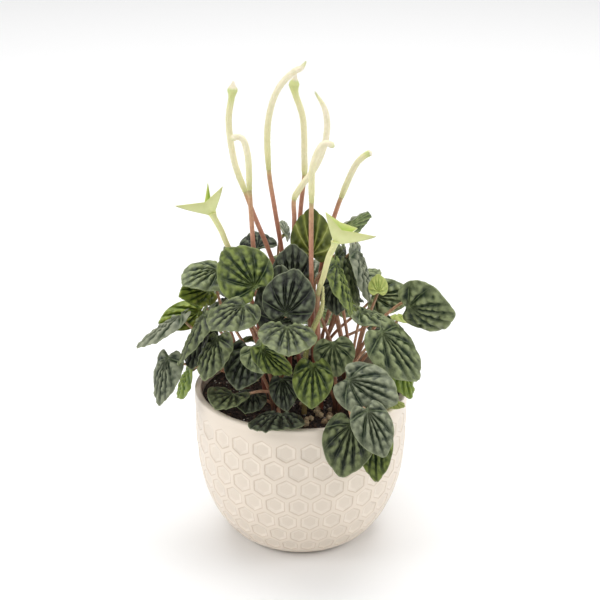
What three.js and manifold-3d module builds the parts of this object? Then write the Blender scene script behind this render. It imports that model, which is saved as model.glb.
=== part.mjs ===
// A potted peperomia: a cream bowl-shaped pot with a honeycomb relief, soil with holes for the stems,
// six leafy crowns of puckered heart-shaped leaves, seven flower spikes with one young spike among
// them, and two odd spikes that open into a three-lobed star. Millimetres, +Z up, the viewer at -Y,
// and the origin at the middle of the pot's underside.
import * as THREE from "three";
import { mergeVertices } from "three/addons/utils/BufferGeometryUtils.js";
import Module from "manifold-3d";

const wasm = await Module();
wasm.setup();

// The pot
const potHeight = 98;
const rimRadius = 65;
const baseRadius = 33.8;
const shoulderHeight = 78.4; // above this the wall is all but upright
const shoulderRadius = 64.5;
const bellyPower = 2.54;
const bellyRoundness = 0.704;
const wallThickness = 4;
const floorThickness = 6;
const heelRun = 5; // the plain foot below the honeycomb, measured along the wall
const lipDrop = [0.3, 1.8]; // the rounded lip falls away by this much
const lipInset = 0.8;

// The honeycomb, measured along the wall from the edge of the underside
const cellsAround = 28;
const cellTurn = (5.1 * Math.PI) / 180; // the pattern's turn about the pot's axis
const cellRows = 7;
const firstRow = 19.5;
const rowPitch = 12.25;
const netHeight = 0.3; // the net stands this far out, and the cells lie this far in
const cellDepth = 0.5;
const cellShare = 0.72; // a cell's flat floor, as a share of the cell

// The soil
const soilLevel = 89.5;
const soilSides = 27;
const soilGap = 0.4;
const soilRoughness = 2.2;
const soilTop = 92.5; // above the tallest lump of soil
const seatGap = 0.3;
const grainRadius = [1.6, 2.3];
const grainSpots = [[6, -36], [14, -40], [17, -34], [3, -42], [24, -37], [10, -31]];
const drawnGrains = 6;
const drawnGrainReach = [38, 52];
const stemFoot = 82; // stems and crowns reach down to here, in their holes
const holeTop = 122;
const crownHoleGap = 1.3;
const stalkHoleGap = 0.9;

// Stems
const crownRadius = 4.5;
const crownTop = 97;
const petioleRadius = [1.5, 0.9]; // at the crown and at the blade
const stalkRadius = 1.4;
const spikeRadius = 1.75;

// Blades
const bladeThickness = 1;
const bladeSpokes = 12; // a vein and a ridge in turn, from the midrib round
const bladeRings = [0.55, 1];
const stemSides = 3;
const petioleSteps = 3;
const petioleStart = 2.6; // how far from the crown's middle a leaf's stem begins
const petioleEnd = 1.8; // and how far under the blade it ends
const petioleStories = 3; // the leaf stems leave their crown at three heights in turn
const puckerHeight = 1.3;

// Each crown of leaves: where it stands in the soil, and its leaves by hand.
// A leaf's row: the place where its stem meets the blade (x, y, z), the heading of its midrib
// (0 towards the viewer, 90 to the right), its slope, its roll, its length to the tip, its width,
// and how far its sides arch down (or up, if negative).
const crowns = {
  left: {
    foot: [-32, -2],
    leaves: [
      [-71, -6, 146.5, -75, -27, 4, 33, 19, 3],
      [-62, 12, 141, -42, 4, -66, 32, 18, 3],
      [-57, -21, 151.5, -58, -50, 16, 34, 24, 3],
      [-80, -22, 126, -25, -55, 25, 29, 26, 3],
      [-66, 4, 106, -130, -55, -45, 27, 23, 3],
      [-50, 2, 172, -45, 0, -20, 27, 28, 3],
      [-54, 10, 155, -32, 14, -50, 28, 19, 2],
      [-59, -7, 134, -20, -25, 30, 26, 25, 3],
    ],
  },
  frontLeft: {
    foot: [-14, -27],
    leaves: [
      [-27, -23, 172, -130, 34, -50, 31, 34, -2],
      [-31, -42, 166, -38, -8, -8, 29, 29, 3],
      [-47, -40, 144, -25, -40, 20, 27, 25, 4],
      [-31, -34, 136, -15, -35, -5, 27, 26, 3],
      [-26.5, -50, 144, 20, -25, 35, 19, 20, -3],
      [-24, -53, 148, 118, -50, 116, 30, 16, -3],
      [-9, -50, 157.5, 3, -6, -5, 28, 34, 2],
      [-11, -30, 154, -175, 65, -20, 34, 31, -2],
      [-5, -22, 170, 180, 72, 0, 26, 26, -2],
      [-9, -42, 160, 152, 62, 24, 27, 31, -2],
      [-11, -39, 118, 10, -38, 12, 20, 17, 2],
      [-40, -43, 111, -25, 5, -5, 22, 25, -3],
      [-12.5, -56, 105, -17, 9, 5, 28, 33, 3],
      [-29, -32, 107, -10, -5, -5, 21, 20, 2],
    ],
  },
  frontRight: {
    foot: [22, -24],
    leaves: [
      [7, -47, 132.5, -2, -30, 1, 29, 24, 3],
      [26, -52, 127, 60, -10, 40, 32, 32, 3],
      [43.5, -36, 147, 62, -43, 22, 35, 32, 4],
      [19, -34, 140, 18, -66, 18, 20, 25, 2],
      [29, -65, 103, -20, -52, -15, 31, 31, 3],
      [37, -73, 114.5, 30, -45, 15, 28, 24, 3],
      [43, -62, 98.5, 3, -62, 5, 32, 21, 2],
      [59, -18, 118, 30, -52, -20, 23, 23, 3],
      [53, -28, 100, 50, 0, 0, 12, 10, 2],
    ],
  },
  right: {
    foot: [30, 5],
    leaves: [
      [17, -18, 182, 30, -47, -38, 32, 24, 3],
      [26, 2, 183, 45, -60, -28, 35, 26, 3],
      [33, 14, 180, 40, -60, -33, 33, 26, 3],
      [23, -5, 166, 5, -45, -5, 20, 18, 2],
      [43.5, -4, 160, 178, 62, 0, 11, 12, 2],
      [44, 6, 153.5, 95, 0, 65, 24, 22, 2],
      [63.5, -8, 152.5, 58, 2, 108, 30, 38, 3],
      [36, -22, 155, 70, -8, -3, 25, 24, 3],
      [58.5, -2, 144.5, 50, 0, -10, 14, 16, 2],
    ],
  },
  backLeft: {
    foot: [-22, 24],
    leaves: [
      [-26.5, 24, 178, -170, 10, -12, 22, 25, 3],
      [-9, 32, 184, 175, 15, 60, 15, 12, 2],
      [-37, 14, 152, -150, 0, 0, 25, 25, 3],
    ],
  },
  backRight: {
    foot: [10, 34],
    leaves: [
      [5, -10, 186, -175, 75, 180, 28, 25, -2],
      [28, 22, 191, 140, 5, -62, 24, 20, 3],
    ],
  },
};

// The far side is filled by a rule: tiers of leaves that droop more the lower they are
const backTiers = [
  { count: 6, from: 128, to: 238, reach: 66, height: 128, slope: -42, length: 32, width: 30 },
  { count: 5, from: 115, to: 245, reach: 56, height: 145, slope: -20, length: 32, width: 31 },
  { count: 4, from: 130, to: 232, reach: 38, height: 158, slope: 5, length: 28, width: 28 },
  { count: 2, from: 172, to: 222, reach: 46, height: 112, slope: -20, length: 26, width: 25 },
];

// Flower stalks from the soil up and the pale spikes that they carry, as points along their middles
const flowers = {
  a: {
    stalk: [
      [3, 2, 82], [3, 2, 97], [-3, 1, 122], [-10, 0, 153],
      [-18, 2, 181], [-28, 3, 207], [-33, 4, 221],
    ],
    spike: [[-33, 4, 221], [-39, 4, 239], [-42, 4, 265], [-40, 4, 279], [-39, 4, 288]],
    swell: 0.85,
  },
  b: {
    stalk: [
      [-22, -12, 82], [-22, -12, 97], [-25, -9, 130],
      [-26, -8, 157], [-28, -8, 188], [-30, -8, 226],
    ],
    spike: [[-30, -8, 226], [-31, -8, 248], [-34, -8, 257], [-38, -8, 258], [-40, -8, 256]],
    swell: 0,
  },
  c: {
    stalk: [[0, 15, 82], [0, 15, 97], [-5, 11, 135], [-12, 7, 186], [-16, 6, 212], [-19, 6, 234]],
    spike: [[-19, 6, 234], [-19, 6, 264], [-13, 6, 283], [-4, 6, 293], [0, 6, 295], [3, 6, 299]],
    swell: 0,
  },
  d: {
    stalk: [[-7, 24, 82], [-7, 24, 97], [-6, 21, 140], [-2, 18, 179], [0, 18, 207], [2, 18, 227]],
    spike: [[2, 18, 227], [2, 18, 238], [1, 18, 262], [-4, 18, 280], [-3, 18, 289]],
    swell: 0.8,
  },
  e: {
    stalk: [[-12, -9, 82], [-12, -9, 97], [-10, -7, 140], [-5, 1, 178], [-4, 2, 204], [-4, 2, 217]],
    spike: [[-4, 2, 217], [-1, 2, 223], [10, 4, 239], [15, 6, 256], [14, 6, 270], [8, 6, 281]],
    swell: 0,
  },
  f: {
    stalk: [[9, -13, 82], [9, -13, 97], [7, -22, 147], [6, -27, 182], [6, -27, 225]],
    spike: [[6, -27, 225], [7, -27, 248], [12, -27, 259], [15, -27, 260], [19, -27, 258]],
    swell: 0,
  },
  g: {
    stalk: [[12, 11, 82], [12, 11, 97], [10, 13, 140], [14, 14, 180], [20, 14, 202], [24, 14, 214]],
    spike: [[24, 14, 214], [33, 14, 235], [38, 14, 240], [42, 14, 242]],
    swell: 0,
  },
};
const youngSpike = [
  [2, -27, 82], [2, -27, 97], [3, -26, 130],
  [7, -30, 147], [12, -35, 162], [13, -35, 176],
];

// The two stars: a red foot, a pale stem, the tips of the three lobes, and how far the edge between
// each two of them falls back to the middle
const stars = {
  left: {
    foot: [[-18, 3, 82], [-18, 3, 97], [-26, -1, 140], [-36, -6, 174]],
    stem: [[-36, -6, 174], [-44, -6, 192], [-47, -6, 200], [-51, -6, 208], [-53, -6, 213]],
    tips: [[-73.5, -12, 217.5], [-45.5, -12, 229.5], [-55, 6, 226]],
    cup: 4.5,
    cuts: [0.62, 0.7, 0.7],
  },
  right: {
    foot: [[12, -21, 82], [12, -21, 97], [10, -27, 140], [10, -31, 170]],
    stem: [[10, -31, 170], [13, -32, 181], [16, -32, 193], [19, -32, 200], [20, -32, 205]],
    tips: [[14, -33, 221], [43, -38, 208], [33, -17, 205.5]],
    cup: 5.5,
    cuts: [0.62, 0.5, 0.3],
  },
};

// ---- general shapes ----

const vector = (p) => new THREE.Vector3(p[0], p[1], p[2]);
const lerp = (a, b, share) => a + (b - a) * share;

// A repeatable draw between 0 and 1
function drawsFrom(seed) {
  let state = seed;
  return () => {
    state = (state * 16807) % 2147483647;
    return state / 2147483647;
  };
}

function geometryOf(points, faces) {
  const geometry = new THREE.BufferGeometry();
  geometry.setAttribute("position", new THREE.Float32BufferAttribute(points.flat(), 3));
  geometry.setIndex(faces.flat());
  return geometry;
}

function solidOf(geometry) {
  const plain = geometry.clone();
  plain.deleteAttribute("normal");
  plain.deleteAttribute("uv");
  const merged = mergeVertices(plain, 1e-4);
  return new wasm.Manifold(
    new wasm.Mesh({
      numProp: 3,
      vertProperties: merged.attributes.position.array,
      triVerts: new Uint32Array(merged.index.array),
    }),
  );
}

function geometryFrom(solid) {
  const mesh = solid.getMesh();
  const geometry = new THREE.BufferGeometry();
  geometry.setAttribute("position", new THREE.BufferAttribute(mesh.vertProperties, 3));
  geometry.setIndex(new THREE.BufferAttribute(mesh.triVerts, 1));
  return geometry;
}

const fuse = (solids) => solids.reduce((whole, piece) => whole.add(piece));

// A rod with flat ends along a list of points, its radius a function of the share of its length
function rod(path, radiusAt, sides, firstWay, lastWay) {
  const points = [];
  const faces = [];
  const along = path.map((p, i) => {
    const after = path[Math.min(i + 1, path.length - 1)];
    return after.clone().sub(path[Math.max(i - 1, 0)]).normalize();
  });
  if (firstWay) along[0].copy(firstWay);
  if (lastWay) along[path.length - 1].copy(lastWay);
  let across = new THREE.Vector3(1, 0, 0);
  path.forEach((p, i) => {
    across = across.addScaledVector(along[i], -across.dot(along[i])).normalize();
    const third = new THREE.Vector3().crossVectors(along[i], across);
    const radius = radiusAt(i / (path.length - 1));
    for (let k = 0; k < sides; k++) {
      const turn = (2 * Math.PI * k) / sides;
      points.push(
        p.clone()
          .addScaledVector(across, radius * Math.cos(turn))
          .addScaledVector(third, radius * Math.sin(turn))
          .toArray(),
      );
    }
  });
  for (let i = 0; i < path.length - 1; i++)
    for (let k = 0; k < sides; k++) {
      const a = i * sides + k;
      const b = i * sides + ((k + 1) % sides);
      faces.push([a, b, b + sides], [a, b + sides, a + sides]);
    }
  const last = (path.length - 1) * sides;
  for (let k = 1; k < sides - 1; k++) {
    faces.push([0, k + 1, k]);
    faces.push([last, last + k, last + k + 1]);
  }
  return geometryOf(points, faces);
}

// A thin closed sheet round a middle point: spokes run out to its edge, and both faces are split alike
function sheet(pointAt, spokes, rings, lift) {
  const points = [pointAt(0, 0)];
  for (const share of rings) for (let k = 0; k < spokes; k++) points.push(pointAt(k, share));
  const count = points.length;
  const under = points.map((p) => p.map((v, axis) => v - lift.getComponent(axis)));
  const faces = [];
  const both = (a, b, c) => faces.push([a, b, c], [count + a, count + c, count + b]);
  for (let k = 0; k < spokes; k++) {
    const next = (k + 1) % spokes;
    both(0, 1 + k, 1 + next);
    for (let r = 1; r < rings.length; r++) {
      const inner = 1 + (r - 1) * spokes;
      const outer = 1 + r * spokes;
      both(inner + k, outer + k, outer + next);
      both(inner + k, outer + next, inner + next);
    }
    const edge = 1 + (rings.length - 1) * spokes;
    faces.push([edge + k, count + edge + k, count + edge + next]);
    faces.push([edge + k, count + edge + next, edge + next]);
  }
  return geometryOf(points.concat(under), faces);
}

// ---- the pot ----

function wallRadius(z) {
  if (z >= shoulderHeight)
    return lerp(shoulderRadius, rimRadius, (z - shoulderHeight) / (potHeight - shoulderHeight));
  const drop = Math.pow(1 - z / shoulderHeight, bellyPower);
  return baseRadius + (shoulderRadius - baseRadius) * Math.pow(1 - drop, bellyRoundness);
}

// The wall's outline by distance along it from the edge of the underside
const wallSteps = [];
const wallStep = 0.05;
for (let z = 0, run = 0; z < potHeight; z += wallStep) {
  const radius = wallRadius(z);
  const last = wallSteps[wallSteps.length - 1];
  if (last) run += Math.hypot(radius - last.radius, wallStep);
  wallSteps.push({ run, radius, z });
}

function onWall(run, turn, out) {
  const i = Math.min(Math.max(wallSteps.findIndex((step) => step.run >= run), 1), wallSteps.length - 2);
  const here = wallSteps[i];
  const before = wallSteps[i - 1];
  const slope = Math.hypot(here.radius - before.radius, here.z - before.z);
  const radius = here.radius + (out * (here.z - before.z)) / slope;
  const z = here.z - (out * (here.radius - before.radius)) / slope;
  return [radius * Math.cos(turn), radius * Math.sin(turn), z];
}

const innerWall = [70, 30, floorThickness].map((z) => [wallRadius(z) - wallThickness, z]);

function makePot() {
  const around = 2 * cellsAround;
  const halfPitch = Math.PI / cellsAround;
  const points = [];
  const faces = [];
  const ring = (place) => {
    const start = points.length;
    for (let i = 0; i < around; i++) points.push(place(cellTurn + i * halfPitch, i));
    return Array.from({ length: around }, (_, i) => start + i);
  };
  const circle = (radius, z) => ring((turn) => [radius * Math.cos(turn), radius * Math.sin(turn), z]);
  const strip = (low, high) => {
    for (let i = 0; i < around; i++) {
      const next = (i + 1) % around;
      faces.push([low[i], low[next], high[next]], [low[i], high[next], high[i]]);
    }
  };
  // A flat disc whose middle lies inside one triangle
  const disc = (edge, facesDown) => {
    const corners = [0, 1, 2, 3].map((third) => Math.round((around * third) / 3));
    const add = (a, b, c) => {
      const [second, third] = facesDown ? [c, b] : [b, c];
      faces.push([edge[a], edge[second], edge[third]]);
    };
    add(...corners.slice(0, 3));
    for (let i = 0; i < 3; i++)
      for (let k = corners[i] + 1; k < corners[i + 1]; k++) add(corners[i], k, (k + 1) % around);
  };
  const side = rowPitch / 1.5;

  const foot = circle(baseRadius, 0);
  disc(foot, true);
  const heel = ring((turn) => onWall(heelRun, turn, 0));
  strip(foot, heel);

  // The net's corners zigzag between the rows
  const zigzags = [];
  for (let row = 0; row <= cellRows; row++) {
    const middle = firstRow + (row - 0.5) * rowPitch;
    zigzags.push(
      ring((turn, i) => onWall(middle + (((i + row) % 2 ? 1 : -1) * side) / 4, turn, netHeight)),
    );
  }
  strip(heel, zigzags[0]);
  for (let row = 0; row < cellRows; row++)
    for (let cell = 0; cell < cellsAround; cell++) {
      const i = 2 * cell + (row % 2);
      const at = (zigzag, step) => zigzags[zigzag][(i + step + around) % around];
      const outer = [
        at(row, -1), at(row, 0), at(row, 1),
        at(row + 1, 1), at(row + 1, 0), at(row + 1, -1),
      ];
      const offsets = [[-1, -0.5], [0, -1], [1, -0.5], [1, 0.5], [0, 1], [-1, 0.5]];
      const start = points.length;
      for (const [turnStep, rise] of offsets)
        points.push(
          onWall(
            firstRow + row * rowPitch + rise * side * cellShare,
            cellTurn + (i + turnStep * cellShare) * halfPitch,
            -cellDepth,
          ),
        );
      const inner = offsets.map((_, k) => start + k);
      for (let k = 0; k < 6; k++) {
        const next = (k + 1) % 6;
        faces.push([outer[k], outer[next], inner[next]], [outer[k], inner[next], inner[k]]);
      }
      for (let k = 1; k < 5; k++) faces.push([inner[0], inner[k], inner[k + 1]]);
    }

  const outline = [
    [rimRadius, potHeight - lipDrop[1]],
    [rimRadius - lipInset, potHeight - lipDrop[0]],
    [rimRadius - wallThickness / 2, potHeight],
    [rimRadius - wallThickness + lipInset, potHeight - lipDrop[0]],
    [rimRadius - wallThickness, potHeight - lipDrop[1]],
    ...innerWall,
  ];
  let below = zigzags[cellRows];
  for (const [radius, z] of outline) {
    const above = circle(radius, z);
    strip(below, above);
    below = above;
  }
  disc(below, false);
  return geometryOf(points, faces);
}

// ---- the soil ----

function makeSoil(holes) {
  const draw = drawsFrom(71);
  const points = [];
  const faces = [];
  const [wallFrom, bendHeight] = innerWall[0];
  const share = (soilLevel - bendHeight) / (potHeight - lipDrop[1] - bendHeight);
  const wallAtSoil = lerp(wallFrom, rimRadius - wallThickness, share);
  const outline = [...innerWall].reverse();
  outline.push([wallAtSoil, soilLevel]);
  const sides = outline.map(([radius, z], i) => [radius - soilGap, i ? z : z + soilGap]);
  const top = [0.8, 0.6, 0.4, 0.2].map((part) => [wallAtSoil * part, soilLevel]);
  const rings = [...sides, ...top];
  rings.forEach(([radius, z], r) => {
    for (let k = 0; k < soilSides; k++) {
      const turn = (2 * Math.PI * k) / soilSides;
      const rough = r >= sides.length ? soilRoughness * draw() : 0;
      points.push([radius * Math.cos(turn), radius * Math.sin(turn), z + rough]);
    }
  });
  for (let r = 0; r < rings.length - 1; r++)
    for (let k = 0; k < soilSides; k++) {
      const a = r * soilSides + k;
      const b = r * soilSides + ((k + 1) % soilSides);
      faces.push([a, b, b + soilSides], [a, b + soilSides, a + soilSides]);
    }
  const last = (rings.length - 1) * soilSides;
  for (let k = 1; k < soilSides - 1; k++) {
    faces.push([0, k + 1, k]);
    faces.push([last, last + k, last + k + 1]);
  }
  let soil = solidOf(geometryOf(points, faces));

  // Fertiliser grains half sunk in the top: a handful where they show, and more by a draw
  const grains = [...grainSpots];
  for (let i = 0; i < drawnGrains; i++) {
    const turn = 2 * Math.PI * draw();
    const reach = lerp(...drawnGrainReach, draw());
    grains.push([reach * Math.cos(turn), reach * Math.sin(turn)]);
  }
  for (const [x, y] of grains) {
    const grain = new THREE.OctahedronGeometry(lerp(...grainRadius, draw()));
    grain.rotateX(draw() * Math.PI).rotateY(draw() * Math.PI);
    grain.translate(x, y, soilLevel + grainRadius[0]);
    soil = soil.add(solidOf(grain));
  }
  for (const { x, y, radius, sides: holeSides } of holes) {
    const hole = new THREE.CylinderGeometry(radius, radius, holeTop - stemFoot, holeSides);
    hole.rotateX(Math.PI / 2);
    hole.translate(x, y, (holeTop + stemFoot) / 2 - seatGap);
    soil = soil.subtract(solidOf(hole));
  }
  return geometryFrom(soil);
}

// ---- leaves ----

// The midrib's direction, the upper face's direction, and the direction across, by heading, slope, roll
function leafAxes(heading, slope, roll) {
  const turn = THREE.MathUtils.degToRad(heading);
  const climb = THREE.MathUtils.degToRad(slope);
  const lean = THREE.MathUtils.degToRad(roll);
  const rib = new THREE.Vector3(
    Math.sin(turn) * Math.cos(climb),
    -Math.cos(turn) * Math.cos(climb),
    Math.sin(climb),
  );
  const upright = new THREE.Vector3(
    -Math.sin(turn) * Math.sin(climb),
    Math.cos(turn) * Math.sin(climb),
    Math.cos(climb),
  );
  const face = upright
    .clone()
    .multiplyScalar(Math.cos(lean))
    .addScaledVector(new THREE.Vector3().crossVectors(rib, upright), Math.sin(lean));
  const across = new THREE.Vector3().crossVectors(face, rib);
  return { rib, face, across };
}

function leafFrom(row) {
  const [x, y, z, heading, slope, roll, length, width, arch] = row;
  return { hub: new THREE.Vector3(x, y, z), length, width, arch, ...leafAxes(heading, slope, roll) };
}

// A point of the blade: angle from the midrib, share of the way out to the edge, and the ridge's height
function bladePoint(leaf, angle, share, ridge) {
  const { length, width } = leaf;
  const back = 0.27 * length;
  const front = 0.93 * length;
  const fromNotch = Math.PI - Math.abs(angle);
  const tip = 0.07 * length * Math.exp(-((angle / 0.3) ** 2));
  const notch = 0.2 * length * Math.exp(-((fromNotch / 0.3) ** 2));
  const along = ((front - back) / 2 + ((front + back) / 2) * Math.cos(angle) + tip + notch) * share;
  const across = (width / 2) * Math.sin(angle) * (1 - 0.12 * Math.cos(angle)) * share;
  const droop = 0.11 * length * (Math.max(along, 0) / length) ** 2;
  const arch = leaf.arch * ((2 * across) / width) ** 2;
  const pucker = puckerHeight * ridge * Math.sin(Math.PI * Math.min(share, 0.84)) - Math.exp(-share * 6);
  return leaf.hub
    .clone()
    .addScaledVector(leaf.rib, along)
    .addScaledVector(leaf.across, across)
    .addScaledVector(leaf.face, pucker - droop - arch);
}

const spokeAngle = (k) => {
  const angle = (2 * Math.PI * k) / bladeSpokes;
  return angle > Math.PI ? angle - 2 * Math.PI : angle;
};

// A blade with its stem, as one closed body: under the blade the innermost spokes run into the stem
function makeLeaf(leaf) {
  const pointAt = (k, share) => bladePoint(leaf, spokeAngle(k), share, k % 2 ? 1 : -0.35);
  const lift = leaf.face.clone().multiplyScalar(bladeThickness);
  const path = petiolePath(leaf, leaf.bow, petioleSteps).reverse();
  const rings = bladeRings.length;
  const upper = [pointAt(0, 0)];
  for (const share of bladeRings) for (let k = 0; k < bladeSpokes; k++) upper.push(pointAt(k, share));
  const under = upper.slice(1).map((p) => p.clone().sub(lift));
  const stem = path.flatMap((p, i) => stemRing(leaf, path, p, i));
  const firstUnder = upper.length;
  const firstStem = firstUnder + under.length;
  const faces = [];
  for (let k = 0; k < bladeSpokes; k++) {
    const next = (k + 1) % bladeSpokes;
    faces.push([0, 1 + k, 1 + next]);
    for (let r = 1; r < rings; r++) {
      const [a, b] = [(r - 1) * bladeSpokes, r * bladeSpokes];
      faces.push([1 + a + k, 1 + b + k, 1 + b + next], [1 + a + k, 1 + b + next, 1 + a + next]);
      faces.push([firstUnder + a + k, firstUnder + b + next, firstUnder + b + k]);
      faces.push([firstUnder + a + k, firstUnder + a + next, firstUnder + b + next]);
    }
    const edge = (rings - 1) * bladeSpokes;
    faces.push([1 + edge + k, firstUnder + edge + k, firstUnder + edge + next]);
    faces.push([1 + edge + k, firstUnder + edge + next, 1 + edge + next]);
    // A stem's side takes a third of the spokes
    const side = Math.floor((k * stemSides) / bladeSpokes);
    const sideNext = Math.floor(((k + 1) * stemSides) / bladeSpokes) % stemSides;
    faces.push([firstUnder + next, firstUnder + k, firstStem + side]);
    if (sideNext !== side) faces.push([firstUnder + next, firstStem + side, firstStem + sideNext]);
  }
  for (let i = 0; i < path.length - 1; i++)
    for (let k = 0; k < stemSides; k++) {
      const a = firstStem + i * stemSides + k;
      const b = firstStem + i * stemSides + ((k + 1) % stemSides);
      faces.push([a, b + stemSides, b], [a, a + stemSides, b + stemSides]);
    }
  const foot = firstStem + (path.length - 1) * stemSides;
  for (let k = 1; k < stemSides - 1; k++) faces.push([foot, foot + k + 1, foot + k]);
  return geometryOf([...upper, ...under, ...stem].map((p) => p.toArray()), faces);
}

// A leaf stem's section, from the blade down: its corners face the same spokes all the way
function stemRing(leaf, path, p, i) {
  const after = path[Math.min(i + 1, path.length - 1)];
  const before = path[Math.max(i - 1, 0)];
  const up = i ? before.clone().sub(after).normalize() : leaf.face.clone();
  const first = leaf.rib.clone().addScaledVector(up, -leaf.rib.dot(up)).normalize();
  const second = new THREE.Vector3().crossVectors(up, first);
  const radius = lerp(petioleRadius[1], petioleRadius[0], i / (path.length - 1));
  return Array.from({ length: stemSides }, (_, k) => {
    const turn = (2 * Math.PI * (k + 0.5)) / stemSides - Math.PI / bladeSpokes;
    return p.clone()
      .addScaledVector(first, radius * Math.cos(turn))
      .addScaledVector(second, radius * Math.sin(turn));
  });
}

// Points spread over a blade, to see what it comes close to
function bladeSamples(leaf) {
  const samples = [leaf.hub.clone()];
  for (const [share, count] of [[0.42, 8], [0.72, 14], [1, 20]])
    for (let k = 0; k < count; k++) {
      const angle = (2 * Math.PI * k) / count;
      samples.push(bladePoint(leaf, angle > Math.PI ? angle - 2 * Math.PI : angle, share, 0));
    }
  return samples;
}

// Leaves that would touch slide apart, mostly along the line of sight, so that each stays where it is seen
const sightline = new THREE.Vector3(0, 0.927, -0.375);
const bladeClearance = 5;
const stalkClearance = 4.2;
const settleRounds = 60;
const mostSlide = 16;
const mostShift = 4;
const slideShare = 0.7;
const shiftShare = 0.4;
const leafYield = 0.3; // the part of a missing gap that a leaf makes good in one round
const stalkYield = 0.4;
const potYield = 0.5;
const rimClearance = 2.5;

// How a point is pushed out of the pot and the soil, for a leaf that hangs outside or stands inside
function potPush(point, hangsOutside, clearance) {
  const radius = Math.hypot(point.x, point.y);
  const outward = new THREE.Vector3(point.x / radius, point.y / radius, 0);
  const lipInside = rimRadius - wallThickness - clearance;
  if (hangsOutside && radius > lipInside && point.z < potHeight + clearance) {
    const short = rimRadius + clearance - radius;
    if (short > 0) return outward.multiplyScalar(short);
  }
  if (!hangsOutside && radius > lipInside && radius < rimRadius + clearance) {
    const short = potHeight + clearance - point.z;
    if (short > 0) return new THREE.Vector3(0, 0, short);
  }
  const short = soilTop + clearance - point.z;
  if (radius <= lipInside && short > 0) return new THREE.Vector3(0, 0, short);
  return null;
}

function settle(leaves, fixedPoints) {
  const starts = leaves.map((leaf) => leaf.hub.clone());
  const depth = starts.map((hub) => hub.dot(sightline));
  const lifts = leaves.map(() => new THREE.Vector3());
  const gap = new THREE.Vector3();
  for (let round = 0; round < settleRounds; round++) {
    const clouds = leaves.map(bladeSamples);
    const pushes = leaves.map(() => new THREE.Vector3());
    const worsts = [];
    const part = (i, closest, away, clearance, order, share) => {
      const short = (clearance - closest) * share;
      pushes[i].addScaledVector(sightline, order * short * slideShare);
      pushes[i].addScaledVector(away, (shiftShare * short) / Math.max(closest, 0.1));
    };
    leaves.forEach((leaf, i) => {
      for (let j = i + 1; j < leaves.length; j++) {
        const reach = leaf.length + leaves[j].length + bladeClearance;
        if (leaf.hub.distanceTo(leaves[j].hub) > reach) continue;
        let closest = bladeClearance;
        const away = new THREE.Vector3();
        for (const p of clouds[i])
          for (const q of clouds[j]) {
            gap.subVectors(p, q);
            if (gap.length() < closest) {
              closest = gap.length();
              away.copy(gap);
            }
          }
        if (closest < bladeClearance) {
          const order = depth[i] > depth[j] ? 1 : -1;
          part(i, closest, away, bladeClearance, order, leafYield);
          part(j, closest, away.negate(), bladeClearance, -order, leafYield);
        }
      }
      for (const q of fixedPoints) {
        if (leaf.hub.distanceTo(q) > leaf.length + stalkClearance) continue;
        let closest = stalkClearance;
        const away = new THREE.Vector3();
        for (const p of clouds[i]) {
          gap.subVectors(p, q);
          if (gap.length() < closest) {
            closest = gap.length();
            away.copy(gap);
          }
        }
        if (closest < stalkClearance)
          part(i, closest, away, stalkClearance, depth[i] > q.dot(sightline) ? 1 : -1, stalkYield);
      }
      const hangsOutside = Math.hypot(starts[i].x, starts[i].y) > rimRadius + 1;
      let worst = new THREE.Vector3();
      for (const p of clouds[i]) {
        const push = potPush(p, hangsOutside, rimClearance);
        if (push && push.length() > worst.length()) worst = push;
      }
      worsts.push(worst);
    });
    leaves.forEach((leaf, i) => {
      const moved = leaf.hub.clone().sub(starts[i]).sub(lifts[i]).add(pushes[i]);
      const slide = Math.min(Math.max(moved.dot(sightline), -mostSlide), mostSlide);
      moved.addScaledVector(sightline, -moved.dot(sightline)).clampLength(0, mostShift);
      lifts[i].addScaledVector(worsts[i], potYield);
      leaf.hub.copy(starts[i]).add(moved).addScaledVector(sightline, slide).add(lifts[i]);
    });
  }
}

const hangsOverRim = ({ hub }) => Math.hypot(hub.x, hub.y) > rimRadius && hub.z < potHeight + 20;

// A leaf's stem bows out of the crown and comes to the blade from below
function petiolePath(leaf, bow, steps) {
  const out = new THREE.Vector3(leaf.hub.x - leaf.foot[0], leaf.hub.y - leaf.foot[1], 0);
  out.setLength(petioleStart);
  const start = new THREE.Vector3(leaf.foot[0], leaf.foot[1], leaf.start).add(out);
  const end = leaf.hub.clone().addScaledVector(leaf.face, -petioleEnd);
  const reach = start.distanceTo(end);
  const first = start.clone().add(bow);
  first.z += 0.45 * reach;
  const second = end.clone().addScaledVector(leaf.face, -0.25 * reach).addScaledVector(bow, 0.6);
  if (hangsOverRim(leaf)) second.z += 0.3 * reach;
  return new THREE.CubicBezierCurve3(start, first, second, end).getPoints(steps);
}

// Of several bows, each leaf's stem takes the one that keeps clearest of what stands about it
const bowReaches = [0, 6, 12, 18, 25];
const bowTurns = 10;
const pathSamples = 24;
const bowCost = 0.05;

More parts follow.
